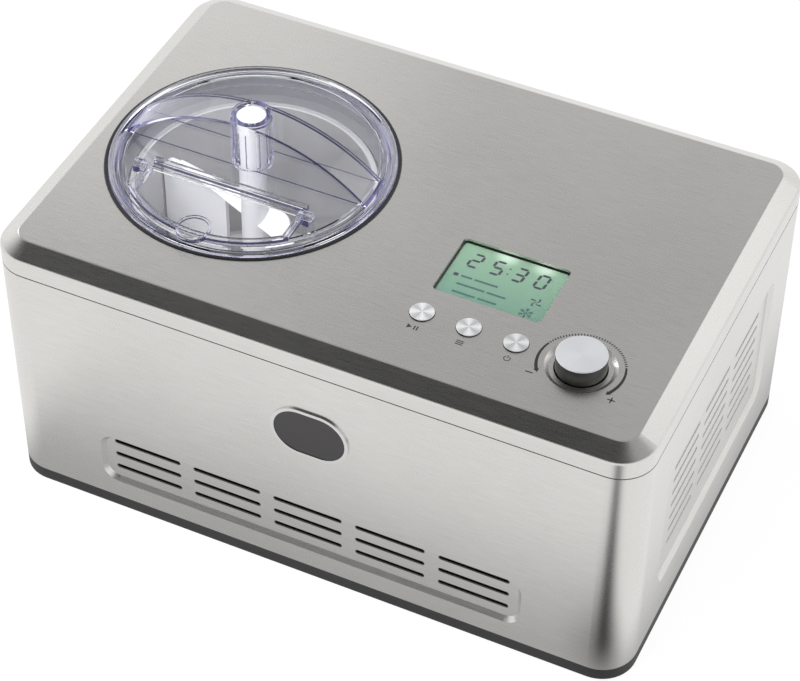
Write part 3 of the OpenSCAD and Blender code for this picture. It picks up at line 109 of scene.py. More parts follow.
def maths(tree, operation, *values):
    return addNode(tree, "ShaderNodeMath", dict(enumerate(values)), operation=operation).outputs[0]


def vectorMaths(tree, operation, *values):
    node = addNode(tree, "ShaderNodeVectorMath", dict(enumerate(values)), operation=operation)
    single = operation in ("DISTANCE", "DOT_PRODUCT", "LENGTH")
    return node.outputs["Value" if single else "Vector"]


def mixed(tree, factor, first, second, kind="RGBA"):
    values = {"Factor": factor, "A": first, "B": second}
    return addNode(tree, "ShaderNodeMix", values, data_type=kind).outputs["Result"]


def mapped(tree, value, low=0, high=1, toLow=0, toHigh=1, curve="LINEAR"):
    values = {"Value": value, "From Min": low, "From Max": high, "To Min": toLow, "To Max": toHigh}
    node = addNode(tree, "ShaderNodeMapRange", values, interpolation_type=curve)
    return node.outputs["Result"]


def noise(tree, spot, scale, detail=2):
    values = {"Vector": spot, "Scale": scale, "Detail": detail}
    return addNode(tree, "ShaderNodeTexNoise", values).outputs["Fac"]


reliefDepth = 0.05 * mm  # how deep a bump of strength 1 looks


def bumped(tree, height, strength):
    values = {"Height": height, "Strength": strength, "Distance": reliefDepth}
    return addNode(tree, "ShaderNodeBump", values).outputs["Normal"]


finishInputs = {"Dark": "Color", "Light": "Color", "Low": "Float", "High": "Float"}
finishOutputs = {"Color": "Color", "Roughness": "Float", "Height": "Float"}


def giveFinish(group, given, sink, blend, height):
    # As blend rises, the tone goes from Dark to Light and the roughness from Low to High
    feed(group, sink, {
        "Color": mixed(group, blend, given["Dark"], given["Light"]),
        "Roughness": mapped(group, blend, toLow=given["Low"], toHigh=given["High"]),
        "Height": height})


brush = {"along": (0.03, 1, 1), "fineness": 1400, "relief": 0.25, "sideFrom": 0.7,
         "detail": 3, "cloudScale": 9, "cloudShare": 0.35, "scratchShare": 0.65}


def makeBrushGrain():
    # Fine scratches along the sheet, turned on its sides, with slow changes of tone over them
    group, given, sink = newTree("brushGrain", "ShaderNodeTree", {
        "Along": "Vector", "Fineness": "Float", **finishInputs}, finishOutputs)
    spot = objectSpot(group)
    normal = addNode(group, "ShaderNodeNewGeometry").outputs["Normal"]
    lean = addNode(group, "ShaderNodeSeparateXYZ", {"Vector": normal}).outputs["X"]
    onSide = maths(group, "GREATER_THAN", maths(group, "ABSOLUTE", lean), brush["sideFrom"])
    parts = addNode(group, "ShaderNodeSeparateXYZ", {"Vector": given["Along"]}).outputs
    turned = addNode(group, "ShaderNodeCombineXYZ",
                     {"X": parts["Y"], "Y": parts["X"], "Z": parts["Z"]}).outputs["Vector"]
    way = mixed(group, onSide, given["Along"], turned, "VECTOR")
    stretched = vectorMaths(group, "MULTIPLY", spot, way)
    scratch = noise(group, stretched, given["Fineness"], brush["detail"])
    cloud = noise(group, spot, brush["cloudScale"])
    share = maths(group, "MULTIPLY", scratch, brush["scratchShare"])
    blend = maths(group, "MULTIPLY_ADD", cloud, brush["cloudShare"], share)
    giveFinish(group, given, sink, blend, scratch)
    return group


moulded = {"patchScale": 25, "grain": 1500, "relief": 0.15}


def makeMouldedSkin():
    # The fine grain of a moulded or painted surface, with slow patches of tone
    group, given, sink = newTree("mouldedSkin", "ShaderNodeTree", {
        "Grain": "Float", **finishInputs}, finishOutputs)
    spot = objectSpot(group)
    patches = noise(group, spot, moulded["patchScale"])
    giveFinish(group, given, sink, patches, noise(group, spot, given["Grain"]))
    return group


spin = {"flatFrom": 0.25, "flatTo": 0.75, "rings": 900, "relief": 0.12}


def makeSpunSheen():
    # Rings of relief round the centre of a turned face, wedges of painted highlight over its tone
    # and roughness, and its side in the Side tone
    group, given, sink = newTree("spunSheen", "ShaderNodeTree", {
        "Centre": "Vector", "Wedges": "Float", "Side": "Color", "Face Metal": "Float",
        **finishInputs}, {**finishOutputs, "Metal": "Float"})
    spot = vectorMaths(group, "SUBTRACT", objectSpot(group), given["Centre"])
    turn = addNode(group, "ShaderNodeTexGradient", {"Vector": spot}, gradient_type="RADIAL")
    turns = maths(group, "MULTIPLY", turn.outputs["Fac"], given["Wedges"])
    wave = maths(group, "SINE", maths(group, "MULTIPLY", turns, 2 * math.pi))
    # The wedges stand in for the glints of spun metal: a painted highlight going from Dark to Light
    highlightWedges = mapped(group, wave, low=-1)
    normal = addNode(group, "ShaderNodeNewGeometry").outputs["Normal"]
    lift = addNode(group, "ShaderNodeSeparateXYZ", {"Vector": normal}).outputs["Z"]
    flat = mapped(group, lift, spin["flatFrom"], spin["flatTo"])
    rings = addNode(group, "ShaderNodeTexWave", {"Vector": spot, "Scale": spin["rings"]},
                    wave_type="RINGS", rings_direction="Z")
    face = mixed(group, highlightWedges, given["Dark"], given["Light"])
    feed(group, sink, {
        "Color": mixed(group, flat, given["Side"], face),
        "Metal": mapped(group, flat, toLow=1, toHigh=given["Face Metal"]),
        "Roughness": mapped(group, highlightWedges, toLow=given["Low"], toHigh=given["High"]),
        "Height": rings.outputs["Color"]})
    return group


brushGrain = makeBrushGrain()
mouldedSkin = makeMouldedSkin()
spunSheen = makeSpunSheen()


def finishFrom(name, group, values, metallic, relief):
    # A group with a Metal output also says where the surface is metal
    material, tree, shader = newMaterial(name, {"Metallic": metallic})
    skin = addNode(tree, "ShaderNodeGroup", values, node_tree=group).outputs
    feed(tree, shader, {"Base Color": skin["Color"], "Roughness": skin["Roughness"],
                        "Normal": bumped(tree, skin["Height"], relief)})
    if "Metal" in skin:
        feed(tree, shader, {"Metallic": skin["Metal"]})
    return material


def grey(value):
    return (value, value, value, 1)


def steel(name, dark, light, low, high, along=brush["along"], fineness=brush["fineness"],
          metallic=1.0):
    values = {"Along": along, "Fineness": fineness,
              "Dark": dark, "Light": light, "Low": low, "High": high}
    return finishFrom(name, brushGrain, values, metallic, brush["relief"])


def plastic(name, dark, light, low, high, grain=moulded["grain"], relief=moulded["relief"]):
    values = {"Grain": grain, "Dark": dark, "Light": light, "Low": low, "High": high}
    return finishFrom(name, mouldedSkin, values, 0.0, relief)


# Metals: dark and light tone, least and most roughness, and the grain, long where a share is small
noGrain, alongX, alongZ = (1, 1, 1), (0.035, 1, 1), (1, 1, 0.1)
caseSteel = steel("caseSteel", (0.57, 0.562, 0.545, 1), (0.84, 0.828, 0.803, 1), 0.22, 0.34,
                  alongX, 1900)
rearSteel = steel("rearSteel", grey(0.42), grey(0.55), 0.35, 0.5)
bowlSteel = steel("bowlSteel", grey(0.64), grey(0.74), 0.2, 0.3, (1, 1, 0.03), 700, 0.6)
zincSheet = steel("zincSheet", grey(0.36), grey(0.5), 0.4, 0.55, noGrain, 60)
groundSteel = steel("groundSteel", grey(0.5), grey(0.62), 0.2, 0.3, alongZ)
dieCast = steel("dieCast", grey(0.42), grey(0.5), 0.45, 0.6, noGrain, 500)
bareAluminium = steel("bareAluminium", grey(0.6), grey(0.72), 0.3, 0.42, alongZ)
copper = steel("copper", (0.6, 0.29, 0.16, 1), (0.75, 0.4, 0.25, 1), 0.25, 0.4, noGrain, 90)
bronze = steel("bronze", (0.45, 0.3, 0.13, 1), (0.58, 0.42, 0.2, 1), 0.35, 0.5, noGrain, 600)
badgeMetal = steel("badgeMetal", grey(0.66), grey(0.78), 0.18, 0.26)

# Plastics, rubbers and paints: dark and light tone, least and most roughness
basePlastic = plastic("basePlastic", (0.022, 0.022, 0.024, 1), (0.034, 0.034, 0.037, 1), 0.4, 0.52)
blackPlastic = plastic("blackPlastic", grey(0.008), grey(0.014), 0.25, 0.38)
collarGrey = plastic("collarGrey", (0.2, 0.2, 0.215, 1), (0.25, 0.25, 0.265, 1), 0.3, 0.42)
footRubber = plastic("footRubber", grey(0.012), grey(0.022), 0.7, 0.85, relief=0.3)
ringRubber = plastic("ringRubber", grey(0.008), grey(0.014), 0.28, 0.4)
badgeFace = plastic("badgeFace", (0.022, 0.019, 0.021, 1), (0.03, 0.027, 0.029, 1), 0.12, 0.2,
                    relief=0.02)
foam = plastic("foam", (0.7, 0.62, 0.4, 1), (0.8, 0.73, 0.52, 1), 0.8, 0.95, grain=300, relief=0.6)
motorPaint = plastic("motorPaint", grey(0.05), grey(0.08), 0.35, 0.5)
compressorPaint = plastic("compressorPaint", grey(0.008), grey(0.014), 0.2, 0.32)
boardGreen = plastic("boardGreen", (0.008, 0.09, 0.03, 1), (0.012, 0.13, 0.05, 1), 0.25, 0.4)
partBlack = plastic("partBlack", grey(0.012), grey(0.02), 0.4, 0.5)
paddleWhite = plastic("paddleWhite", grey(0.88), grey(0.92), 0.28, 0.38, relief=0.05)
gearWhite = plastic("gearWhite", (0.72, 0.71, 0.66, 1), (0.8, 0.79, 0.75, 1), 0.35, 0.5)
print("finishes made")

clear = {"slant": 0.4, "edgePower": 4, "shadow": (0.97, 0.97, 1, 1)}


def makeClearPlastic(name, tint, edge, rough, bend, paintedEdgeGlow):
    # Clear moulding that lets shadow rays by; its edges take the violet tint of thick plastic and
    # glow with it, a painted glow of light
    material, tree, shader = newMaterial(name, {
        "Transmission Weight": 1.0, "IOR": bend, "Roughness": rough, "Emission Strength": paintedEdgeGlow})
    slant = addNode(tree, "ShaderNodeLayerWeight", {"Blend": clear["slant"]}).outputs["Facing"]
    rise = maths(tree, "POWER", slant, clear["edgePower"])
    # The emission at the edges is painted light; the last argument sets its strength
    feed(tree, shader, {"Base Color": mixed(tree, rise, tint, edge),
                        "Emission Color": mixed(tree, rise, (0, 0, 0, 1), edge)})
    through = addNode(tree, "ShaderNodeBsdfTransparent", {"Color": clear["shadow"]})
    ray = addNode(tree, "ShaderNodeLightPath").outputs["Is Shadow Ray"]
    choice = addNode(tree, "ShaderNodeMixShader",
                     {"Fac": ray, 1: shader.outputs["BSDF"], 2: through.outputs["BSDF"]})
    feed(tree, tree.nodes["Material Output"], {"Surface": choice.outputs["Shader"]})
    return material


# The lid's last value is the strength of its painted edge glow
clearLid = makeClearPlastic("clearLid", (1, 1, 1, 1), (0.45, 0.44, 0.93, 1), 0.01, 1.4, 0.55)
clearWindow = makeClearPlastic("clearWindow", (0.95, 0.99, 0.97, 1), (0.9, 0.97, 0.94, 1),
                               0.03, 1.45, 0)
ink = {"lighter": 1.15, "low": 0.5, "high": 0.6, "grain": 900, "relief": 0.05}


def makeInk(name, color):
    light = tuple(ink["lighter"] * c for c in color[:3]) + (1,)
    return plastic(name, color, light, ink["low"], ink["high"], ink["grain"], ink["relief"])


printInk = makeInk("printInk", (0.03, 0.028, 0.027, 1))
screenInk = makeInk("screenInk", (0.025, 0.015, 0.05, 1))
faintInk = makeInk("faintInk", (0.035, 0.1, 0.1, 1))

# Which pieces of the frame wear each finish
wearers = [
    (caseSteel, "top_cover housing_wrap"),
    (rearSteel, "rear_panel"),
    (bowlSteel, "bowl"),
    (zincSheet, "corner_posts support_plate"),
    (groundSteel, "rear_screws idler_axle compressor_studs drive_shaft motor_rotor encoder_shaft"),
    (dieCast, "gearbox_case gearbox_cover compressor_pump encoder"),
    (bareAluminium, "cooling_well condenser_fins"),
    (copper, "evaporator_coil condenser_tubes filter_drier"),
    (copper, "suction_line discharge_line liquid_line"),
    (bronze, "shaft_bush motor_pinion"),
    (badgeMetal, "badge_rim"),
    (basePlastic, "base_tray"),
    (blackPlastic, "cord_gland fan_shroud control_frame fan_rotor"),
    (collarGrey, "opening_collar"),
    (footRubber, "feet compressor_grommets"),
    (ringRubber, "opening_gasket shaft_seal"),
    (badgeFace, "badge_plate"),
    (foam, "insulation_foam"),
    (motorPaint, "motor_can fan_motor"),
    (compressorPaint, "compressor_shell compressor_dome compressor_plate"),
    (boardGreen, "control_board power_board"),
    (partBlack, "tact_switches"),
    (paddleWhite, "paddle"),
    (gearWhite, "output_gear idler_gear"),
    (clearLid, "lid lid_handle flap flap_pins"),
]
dressed = 0
for finish, nodes in wearers:
    for node in nodes.split():
        dress(node, finish)
        dressed += 1

# Light and Dark are the tones of the painted highlight wedges on each face
buttonFace = {"Light": (0.96, 0.96, 0.97, 1), "Dark": (0.6, 0.61, 0.63, 1), "Side": grey(0.6),
              "Low": 0.22, "High": 0.34, "Wedges": 4, "Face Metal": 0.35}
knobFace = {"Light": (0.83, 0.85, 0.88, 1), "Dark": (0.78, 0.8, 0.83, 1), "Side": grey(0.2),
            "Low": 0.3, "High": 0.36, "Wedges": 2, "Face Metal": 0.3}
buttons = ("start_button", "menu_button", "power_button")
for node, face in [(button, buttonFace) for button in buttons] + [("knob", knobFace)]:
    low, high, middle = nodeSpan(node)
    values = {**face, "Centre": (middle.x, middle.y, high.z)}
    dress(node, finishFrom(node + "Metal", spunSheen, values, 1.0, spin["relief"]))
    dressed += 1
knobMiddle = nodeSpan("knob")[2]
print("CAD pieces dressed:", dressed)

screen = {"lit": (0.26, 0.42, 0.28, 1), "shade": (0.13, 0.27, 0.2, 1),
          "glow": (0.78, 0.95, 0.78, 1), "strength": 0.1, "rough": 0.3,
          "lampsAt": (0.42, 0.78), "lampReach": 12 * mm, "lampShare": 0.8,
          "glass": 0.5 * mm, "corner": 5.5 * mm}


def makeScreenGlow(low, high):
    # Backlit cell: brighter along its far edge, where two lamps sit
    material, tree, shader = newMaterial("screenGlow", {
        "Roughness": screen["rough"], "Emission Strength": screen["strength"]})
    spot = objectSpot(tree)
    depth = addNode(tree, "ShaderNodeSeparateXYZ", {"Vector": spot}).outputs["Y"]
    tone = mixed(tree, mapped(tree, depth, low.y, high.y), screen["shade"], screen["lit"])
    for share in screen["lampsAt"]:
        lamp = (low.x + (high.x - low.x) * share, high.y, high.z)
        halo = mapped(tree, vectorMaths(tree, "DISTANCE", spot, lamp), screen["lampReach"], 0,
                      toHigh=screen["lampShare"], curve="SMOOTHERSTEP")
        tone = mixed(tree, halo, tone, screen["glow"])
    feed(tree, shader, {"Base Color": tone, "Emission Color": tone})
    return material


cellLow, cellHigh, cellMiddle = nodeSpan("lcd_module")
dress("lcd_module", makeScreenGlow(cellLow, cellHigh))


# Flat outlines, and plates raised from them between two heights

def meshFrom(bm, name, smoothAngle=35):
    mesh = bpy.data.meshes.new(name)
    bmesh.ops.recalc_face_normals(bm, faces=bm.faces)
    bm.to_mesh(mesh)
    bm.free()
    mesh.shade_smooth()
    mesh.set_sharp_from_angle(angle=math.radians(smoothAngle))
    return mesh


def polar(centre, radius, angle):
    a = math.radians(angle)
    return centre.x + radius * math.cos(a), centre.y + radius * math.sin(a)


def slab(bm, outline, z0, z1):
    lower = [bm.verts.new((x, y, z0)) for x, y in outline]
    upper = [bm.verts.new((x, y, z1)) for x, y in outline]
    count = len(outline)
    bm.faces.new(upper)
    bm.faces.new(list(reversed(lower)))
    for i in range(count):
        bm.faces.new((lower[i], lower[(i + 1) % count], upper[(i + 1) % count], upper[i]))


def block(bm, x, y, halfX, halfY, z0, z1):
    slab(bm, [(x - halfX, y - halfY), (x + halfX, y - halfY),
              (x + halfX, y + halfY), (x - halfX, y + halfY)], z0, z1)


def roundedOutline(width, depth, corner, steps=8):
    points = []
    for quarter, (sx, sy) in enumerate(((1, 1), (-1, 1), (-1, -1), (1, -1))):
        centre = Vector((sx * (width / 2 - corner), sy * (depth / 2 - corner)))
        points += [polar(centre, corner, 90 * (quarter + i / steps)) for i in range(steps + 1)]
    return points


def barOutline(start, end, half):
    # Six-sided bar with pointed ends
    along = (end - start).normalized()
    across = Vector((-along.y, along.x)) * half
    tip = along * half
    return [start, start + tip + across, end - tip + across,
            end, end - tip - across, start + tip - across]


def arcBand(bm, centre, radius, start, end, width0, width1, z0, z1, steps=28):
    outer, inner = [], []
    for i in range(steps + 1):
        share = i / steps
        angle = start + (end - start) * share
        half = (width0 + (width1 - width0) * share) / 2
        outer.append(polar(centre, radius + half, angle))
        inner.append(polar(centre, radius - half, angle))
    for i in range(steps):
        slab(bm, [outer[i], outer[i + 1], inner[i + 1], inner[i]], z0, z1)


def makeWindow():
    low, high, middle = nodeSpan("lcd_window")
    bm = bmesh.new()
    outline = [(middle.x + x, middle.y + y) for x, y in
               roundedOutline(high.x - low.x, high.y - low.y, screen["corner"])]
    slab(bm, outline, high.z - screen["glass"], high.z)
    piece = newObject("displayWindow", meshFrom(bm, "displayWindow"),
                      "housing", clearWindow)
    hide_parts("lcd_window")


makeWindow()

cellInk = {"lift": 0.02 * mm, "skin": 0.06 * mm}
cellInkZ = (cellHigh.z + cellInk["lift"], cellHigh.z + cellInk["lift"] + cellInk["skin"])
digits = {"tall": 11.4 * mm, "wide": 6.2 * mm, "bar": 1.7 * mm, "gap": 0.3 * mm, "lean": 0.1,
          "show": "2530", "step": 14.3 * mm, "start": -21.6 * mm, "drop": 12.7 * mm,
          "dot": 0.5 * mm, "dotRise": 2.4 * mm}
segmentsOf = {"0": "abcdef", "2": "abdeg", "3": "abcdg", "5": "acdfg"}


def digitBars(symbol):
    w, h, g = digits["wide"] / 2, digits["tall"] / 2, digits["gap"]
    ends = {"a": ((-w + g, h), (w - g, h)), "d": ((-w + g, -h), (w - g, -h)),
            "g": ((-w + g, 0), (w - g, 0)), "b": ((w, h - g), (w, g)), "c": ((w, -g), (w, -h + g)),
            "e": ((-w, -g), (-w, -h + g)), "f": ((-w, h - g), (-w, g))}
    return [barOutline(Vector(ends[s][0]), Vector(ends[s][1]), digits["bar"] / 2)
            for s in segmentsOf[symbol]]


def makeDigits():
    bm = bmesh.new()
    x = cellMiddle.x + digits["start"]
    y = cellHigh.y - digits["drop"]
    colonX = x + 1.5 * digits["step"]
    for symbol in digits["show"]:
        for outline in digitBars(symbol):
            slab(bm, [(x + p.x + digits["lean"] * p.y, y + p.y) for p in outline], *cellInkZ)
        x += digits["step"]
    for rise in (-digits["dotRise"], digits["dotRise"]):
        block(bm, colonX, y + rise, digits["dot"], digits["dot"], *cellInkZ)
    newObject("screenDigits", meshFrom(bm, "screenDigits"), "housing", screenInk)


makeDigits()

# Lengths in mm: left and right from the cell's sides, drop from its far edge, up from its near edge
rows = {"lengths": ((7, 15), (18, 12), (15, 12)), "row": 7.0, "bar": 1.5, "space": 1.6,
        "left": 5.8, "indent": 3.5, "drop": 28, "square": (1.5, 1.3)}
crystal = {"right": 11, "up": 6, "arms": 6, "arm": 4.4, "half": 0.3, "core": 0.3,
           "twigAt": (0.5, 0.75), "twigTurn": 55, "twig": 1.4, "twigHalf": 0.24}
fan = {"right": 9, "up": 17, "blades": 4, "steps": 8, "turn": 8, "outer": 4.2, "inner": 4.0,
       "width": 22}


def bladeOutline(centre, start):
    # A blade that widens as it curls outwards
    steps = fan["steps"]
    outward = [polar(centre, fan["outer"] * mm * i / steps, start + fan["turn"] * i)
               for i in range(steps + 1)]
    inward = [polar(centre, fan["inner"] * mm * i / steps, start + fan["turn"] * i + fan["width"])
              for i in range(steps - 1, 0, -1)]
    return outward + inward


def makeScreenMarks():
    # Plain bars in place of words, and a snow crystal
    bm = bmesh.new()
    left, top = cellLow.x + rows["left"] * mm, cellHigh.y - rows["drop"] * mm
    for row, lengths in enumerate(rows["lengths"]):
        x = left + rows["indent"] * mm
        y = top - row * rows["row"] * mm
        for length in lengths:
            half = length * mm / 2
            block(bm, x + half, y, half, rows["bar"] * mm / 2, *cellInkZ)
            x += 2 * half + rows["space"] * mm
    centre = Vector((cellHigh.x - crystal["right"] * mm, cellLow.y + crystal["up"] * mm))
    arm, twig = crystal["arm"] * mm, crystal["twig"] * mm
    for k in range(crystal["arms"]):
        a = 2 * math.pi * (k + 0.5) / crystal["arms"]
        way = Vector((math.cos(a), math.sin(a)))
        outlines = [barOutline(centre + way * crystal["core"] * mm, centre + way * arm,
                               crystal["half"] * mm)]
        for turn in (crystal["twigTurn"], -crystal["twigTurn"]):
            b = a + math.radians(turn)
            for reach in crystal["twigAt"]:
                root = centre + way * arm * reach
                tip = root + Vector((math.cos(b), math.sin(b))) * twig
                outlines.append(barOutline(root, tip, crystal["twigHalf"] * mm))
        for outline in outlines:
            slab(bm, outline, *cellInkZ)
    newObject("screenMarks", meshFrom(bm, "screenMarks"), "housing", faintInk)


def makeScreenIcons():
    # The square that marks a row, and a fan
    bm = bmesh.new()
    halfX, halfY = rows["square"]
    block(bm, cellLow.x + rows["left"] * mm, cellHigh.y - rows["drop"] * mm,
          halfX * mm, halfY * mm, *cellInkZ)
    centre = Vector((cellHigh.x - fan["right"] * mm, cellLow.y + fan["up"] * mm))
    for k in range(fan["blades"]):
        slab(bm, bladeOutline(centre, 360 / fan["blades"] * k), *cellInkZ)
    newObject("screenIcons", meshFrom(bm, "screenIcons"), "housing", screenInk)


makeScreenMarks()
makeScreenIcons()
print("display made")

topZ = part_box("top_cover")[1].z
prints = {"lift": 0.005 * mm, "skin": 0.04 * mm}
printZ = (topZ + prints["lift"], topZ + prints["skin"])
scale = {"radius": 25.9 * mm, "thick": 2.1 * mm, "taper": 1.2 * mm,
         "from": 210, "to": -30, "solid": 52, "arcPoints": 200,
         "ticks": 34, "tickGap": 3, "tickLength": 1.5 * mm, "tickWidth": 0.75 * mm,
         "arrow": 2.6 * mm, "arrowHalf": 1.7 * mm, "signHalf": 2.3 * mm, "signThin": 0.4 * mm,
         "minusAt": (-25.2 * mm, -17.1 * mm), "plusAt": (25.6 * mm, -17.9 * mm)}


def makeScale():
    # Two tapered bands with an arrow at their thick ends, a minus and a plus
    bm = bmesh.new()
    centre = Vector((knobMiddle.x, knobMiddle.y))
    for angle, way in ((scale["from"], 1), (scale["to"], -1)):
        arcBand(bm, centre, scale["radius"], angle, angle - way * scale["solid"],
                scale["thick"], scale["taper"], *printZ)
    for angle, way in ((scale["from"], 1), (scale["to"], -1)):
        a = math.radians(angle)
        radial = Vector((math.cos(a), math.sin(a)))
        spot = centre + radial * scale["radius"]
        ahead = Vector((-radial.y, radial.x)) * way
        slab(bm, [spot + ahead * scale["arrow"], spot - radial * scale["arrowHalf"],
                  spot + radial * scale["arrowHalf"]], *printZ)
    wide, thin = scale["signHalf"], scale["signThin"]
    bars = (("minusAt", wide, thin), ("plusAt", wide, thin), ("plusAt", thin, wide))
    for place, halfX, halfY in bars:
        x, y = scale[place]
        block(bm, knobMiddle.x + x, knobMiddle.y + y, halfX, halfY, *printZ)
    newObject("knobScale", meshFrom(bm, "knobScale"), "housing", printInk)


makeScale()


# Geometry trees for what repeats

def nodesOn(name, tree, values):
    # Runs a tree on an empty mesh with its named inputs set, and gives back the plain mesh
    holder = bpy.data.objects.new(name, bpy.data.meshes.new(name))
    bpy.context.collection.objects.link(holder)
    run = holder.modifiers.new("nodes", "NODES")
    run.node_group = tree
    sockets = {s.name: s.identifier for s in tree.interface.items_tree if s.in_out == "INPUT"}
    for label, value in values.items():
        run[sockets[label]] = value
    graph = bpy.context.evaluated_depsgraph_get()
    mesh = bpy.data.meshes.new_from_object(holder.evaluated_get(graph))
    holder.modifiers.remove(run)
    bpy.data.objects.remove(holder)
    return mesh


def endTree(tree, given, sink, copies):
    real = addNode(tree, "GeometryNodeRealizeInstances", {"Geometry": copies})
    painted = addNode(tree, "GeometryNodeSetMaterial",
                      {"Geometry": real.outputs["Geometry"], "Material": given["Finish"]})
    feed(tree, sink, {"Geometry": painted.outputs["Geometry"]})


def makeTickTree():
    # Ticks set round an arc, each pointing at its centre
    tree, given, sink = newTree("scaleTicks", "GeometryNodeTree", {
        "Count": "Int", "Radius": "Float", "Start": "Float", "Sweep": "Float", "Length": "Float",
        "Width": "Float", "Height": "Float", "Centre": "Vector", "Finish": "Material",
    }, {"Geometry": "Geometry"})
    arc = addNode(tree, "GeometryNodeCurveArc", {
        "Radius": given["Radius"], "Start Angle": given["Start"], "Sweep Angle": given["Sweep"],
        "Resolution": scale["arcPoints"]}, mode="RADIUS")
    spots = addNode(tree, "GeometryNodeCurveToPoints",
                    {"Curve": arc.outputs["Curve"], "Count": given["Count"]}, mode="COUNT")
    size = addNode(tree, "ShaderNodeCombineXYZ",
                   {"X": given["Width"], "Y": given["Length"], "Z": given["Height"]})
    tick = addNode(tree, "GeometryNodeMeshCube", {"Size": size.outputs["Vector"]})
    where = addNode(tree, "GeometryNodeInputPosition").outputs["Position"]
    turn = addNode(tree, "FunctionNodeAlignRotationToVector", {"Vector": where}, axis="Y")
    copies = addNode(tree, "GeometryNodeInstanceOnPoints", {
        "Points": spots.outputs["Points"], "Instance": tick.outputs["Mesh"],
        "Rotation": turn.outputs["Rotation"]})
    placed = addNode(tree, "GeometryNodeTransform",
                     {"Geometry": copies.outputs["Instances"], "Translation": given["Centre"]})
    endTree(tree, given, sink, placed.outputs["Geometry"])
    return tree


def makeTicks():
    first = scale["from"] - scale["solid"] - scale["tickGap"]
    last = scale["to"] + scale["solid"] + scale["tickGap"]
    mesh = nodesOn("scaleTicks", makeTickTree(), {
        "Count": scale["ticks"], "Radius": scale["radius"], "Start": math.radians(last),
        "Sweep": math.radians(first - last), "Length": scale["tickLength"],
        "Width": scale["tickWidth"], "Height": prints["skin"], "Finish": printInk,
        "Centre": (knobMiddle.x, knobMiddle.y, printZ[0] + prints["skin"] / 2)})
    newObject("scaleTicks", mesh, "housing", printInk)


makeTicks()

# Half sizes, and places from the middle of each sign, in mm
signs = {"drop": 13.4, "play": ((-3.4, -1.7), (-0.4, 0), (-3.4, 1.7)), "pause": (1.2, 2.9),
         "pauseHalf": (0.4, 1.7), "list": (-1.4, 0, 1.4), "listHalf": (2.4, 0.3),
         "ring": 1.9, "ringFrom": 125, "ringTo": 415, "ringWide": 0.5,
         "pin": 1.5, "pinHalf": (0.27, 1.1)}


def makeButtonSigns():
    # Simple signs in front of the buttons: play and pause, a list, and a power ring
    bm = bmesh.new()
    spots = []
    for button in buttons:
        middle = nodeSpan(button)[2]
        spots.append(Vector((middle.x, middle.y - signs["drop"] * mm)))
    play, menu, power = spots
    slab(bm, [(play.x + x * mm, play.y + y * mm) for x, y in signs["play"]], *printZ)
    halfX, halfY = signs["pauseHalf"]
    for shift in signs["pause"]:
        block(bm, play.x + shift * mm, play.y, halfX * mm, halfY * mm, *printZ)
    halfX, halfY = signs["listHalf"]
    for shift in signs["list"]:
        block(bm, menu.x, menu.y + shift * mm, halfX * mm, halfY * mm, *printZ)
    arcBand(bm, power, signs["ring"] * mm, signs["ringFrom"], signs["ringTo"],
            signs["ringWide"] * mm, signs["ringWide"] * mm, *printZ)
    halfX, halfY = signs["pinHalf"]
    block(bm, power.x, power.y + signs["pin"] * mm, halfX * mm, halfY * mm, *printZ)
    newObject("buttonSigns", meshFrom(bm, "buttonSigns"), "housing", printInk)


makeButtonSigns()
print("printed marks made")

# The lips are the case's own sheet steel: painted darker in the front and rear slots as painted
# shade, and lighter in the side slots as painted light
shadedLipSteel = steel("shadedLipSteel", (0.11, 0.1, 0.088, 1), (0.2, 0.185, 0.165, 1), 0.35, 0.5, noGrain,
                 metallic=0.5)
litLipSteel = steel("litLipSteel", (0.56, 0.55, 0.53, 1), (0.7, 0.69, 0.67, 1), 0.35, 0.5, noGrain,
                  metallic=0.35)
lipShape = {"Height": 3.6 * mm, "Wall": 0.3 * mm}
lipEnd = {"steps": 6, "radiusShare": 0.499}  # just under half, so that the two fillets don't meet
sideField = {"Columns": 3, "Rows": 7, "Column Pitch": 52 * mm, "Row Pitch": 10.9 * mm,
             "Length": 43 * mm, "Depth": 3.2 * mm, "Finish": litLipSteel}
# Place is the middle of a field of slots; turn, in degrees about Z, brings it round from the front
vents = {
    "frontLips": {"Columns": 5, "Rows": 3, "Column Pitch": 56 * mm, "Row Pitch": 11.2 * mm,
                  "Length": 47 * mm, "Depth": 1.1 * mm, "Finish": shadedLipSteel,
                  "Place": (0, -140.2 * mm, 49 * mm), "turn": 0},
    "leftLips": {**sideField, "Place": (-209.7 * mm, 0, 96.7 * mm), "turn": -90},
    "rightLips": {**sideField, "Place": (209.7 * mm, 0, 96.7 * mm), "turn": 90},
    "rearLips": {"Columns": 3, "Rows": 8, "Column Pitch": 74 * mm, "Row Pitch": 12 * mm,
                 "Length": 60 * mm, "Depth": 2.4 * mm, "Finish": shadedLipSteel,
                 "Place": (0, 142 * mm, 104.75 * mm), "turn": 180},
}


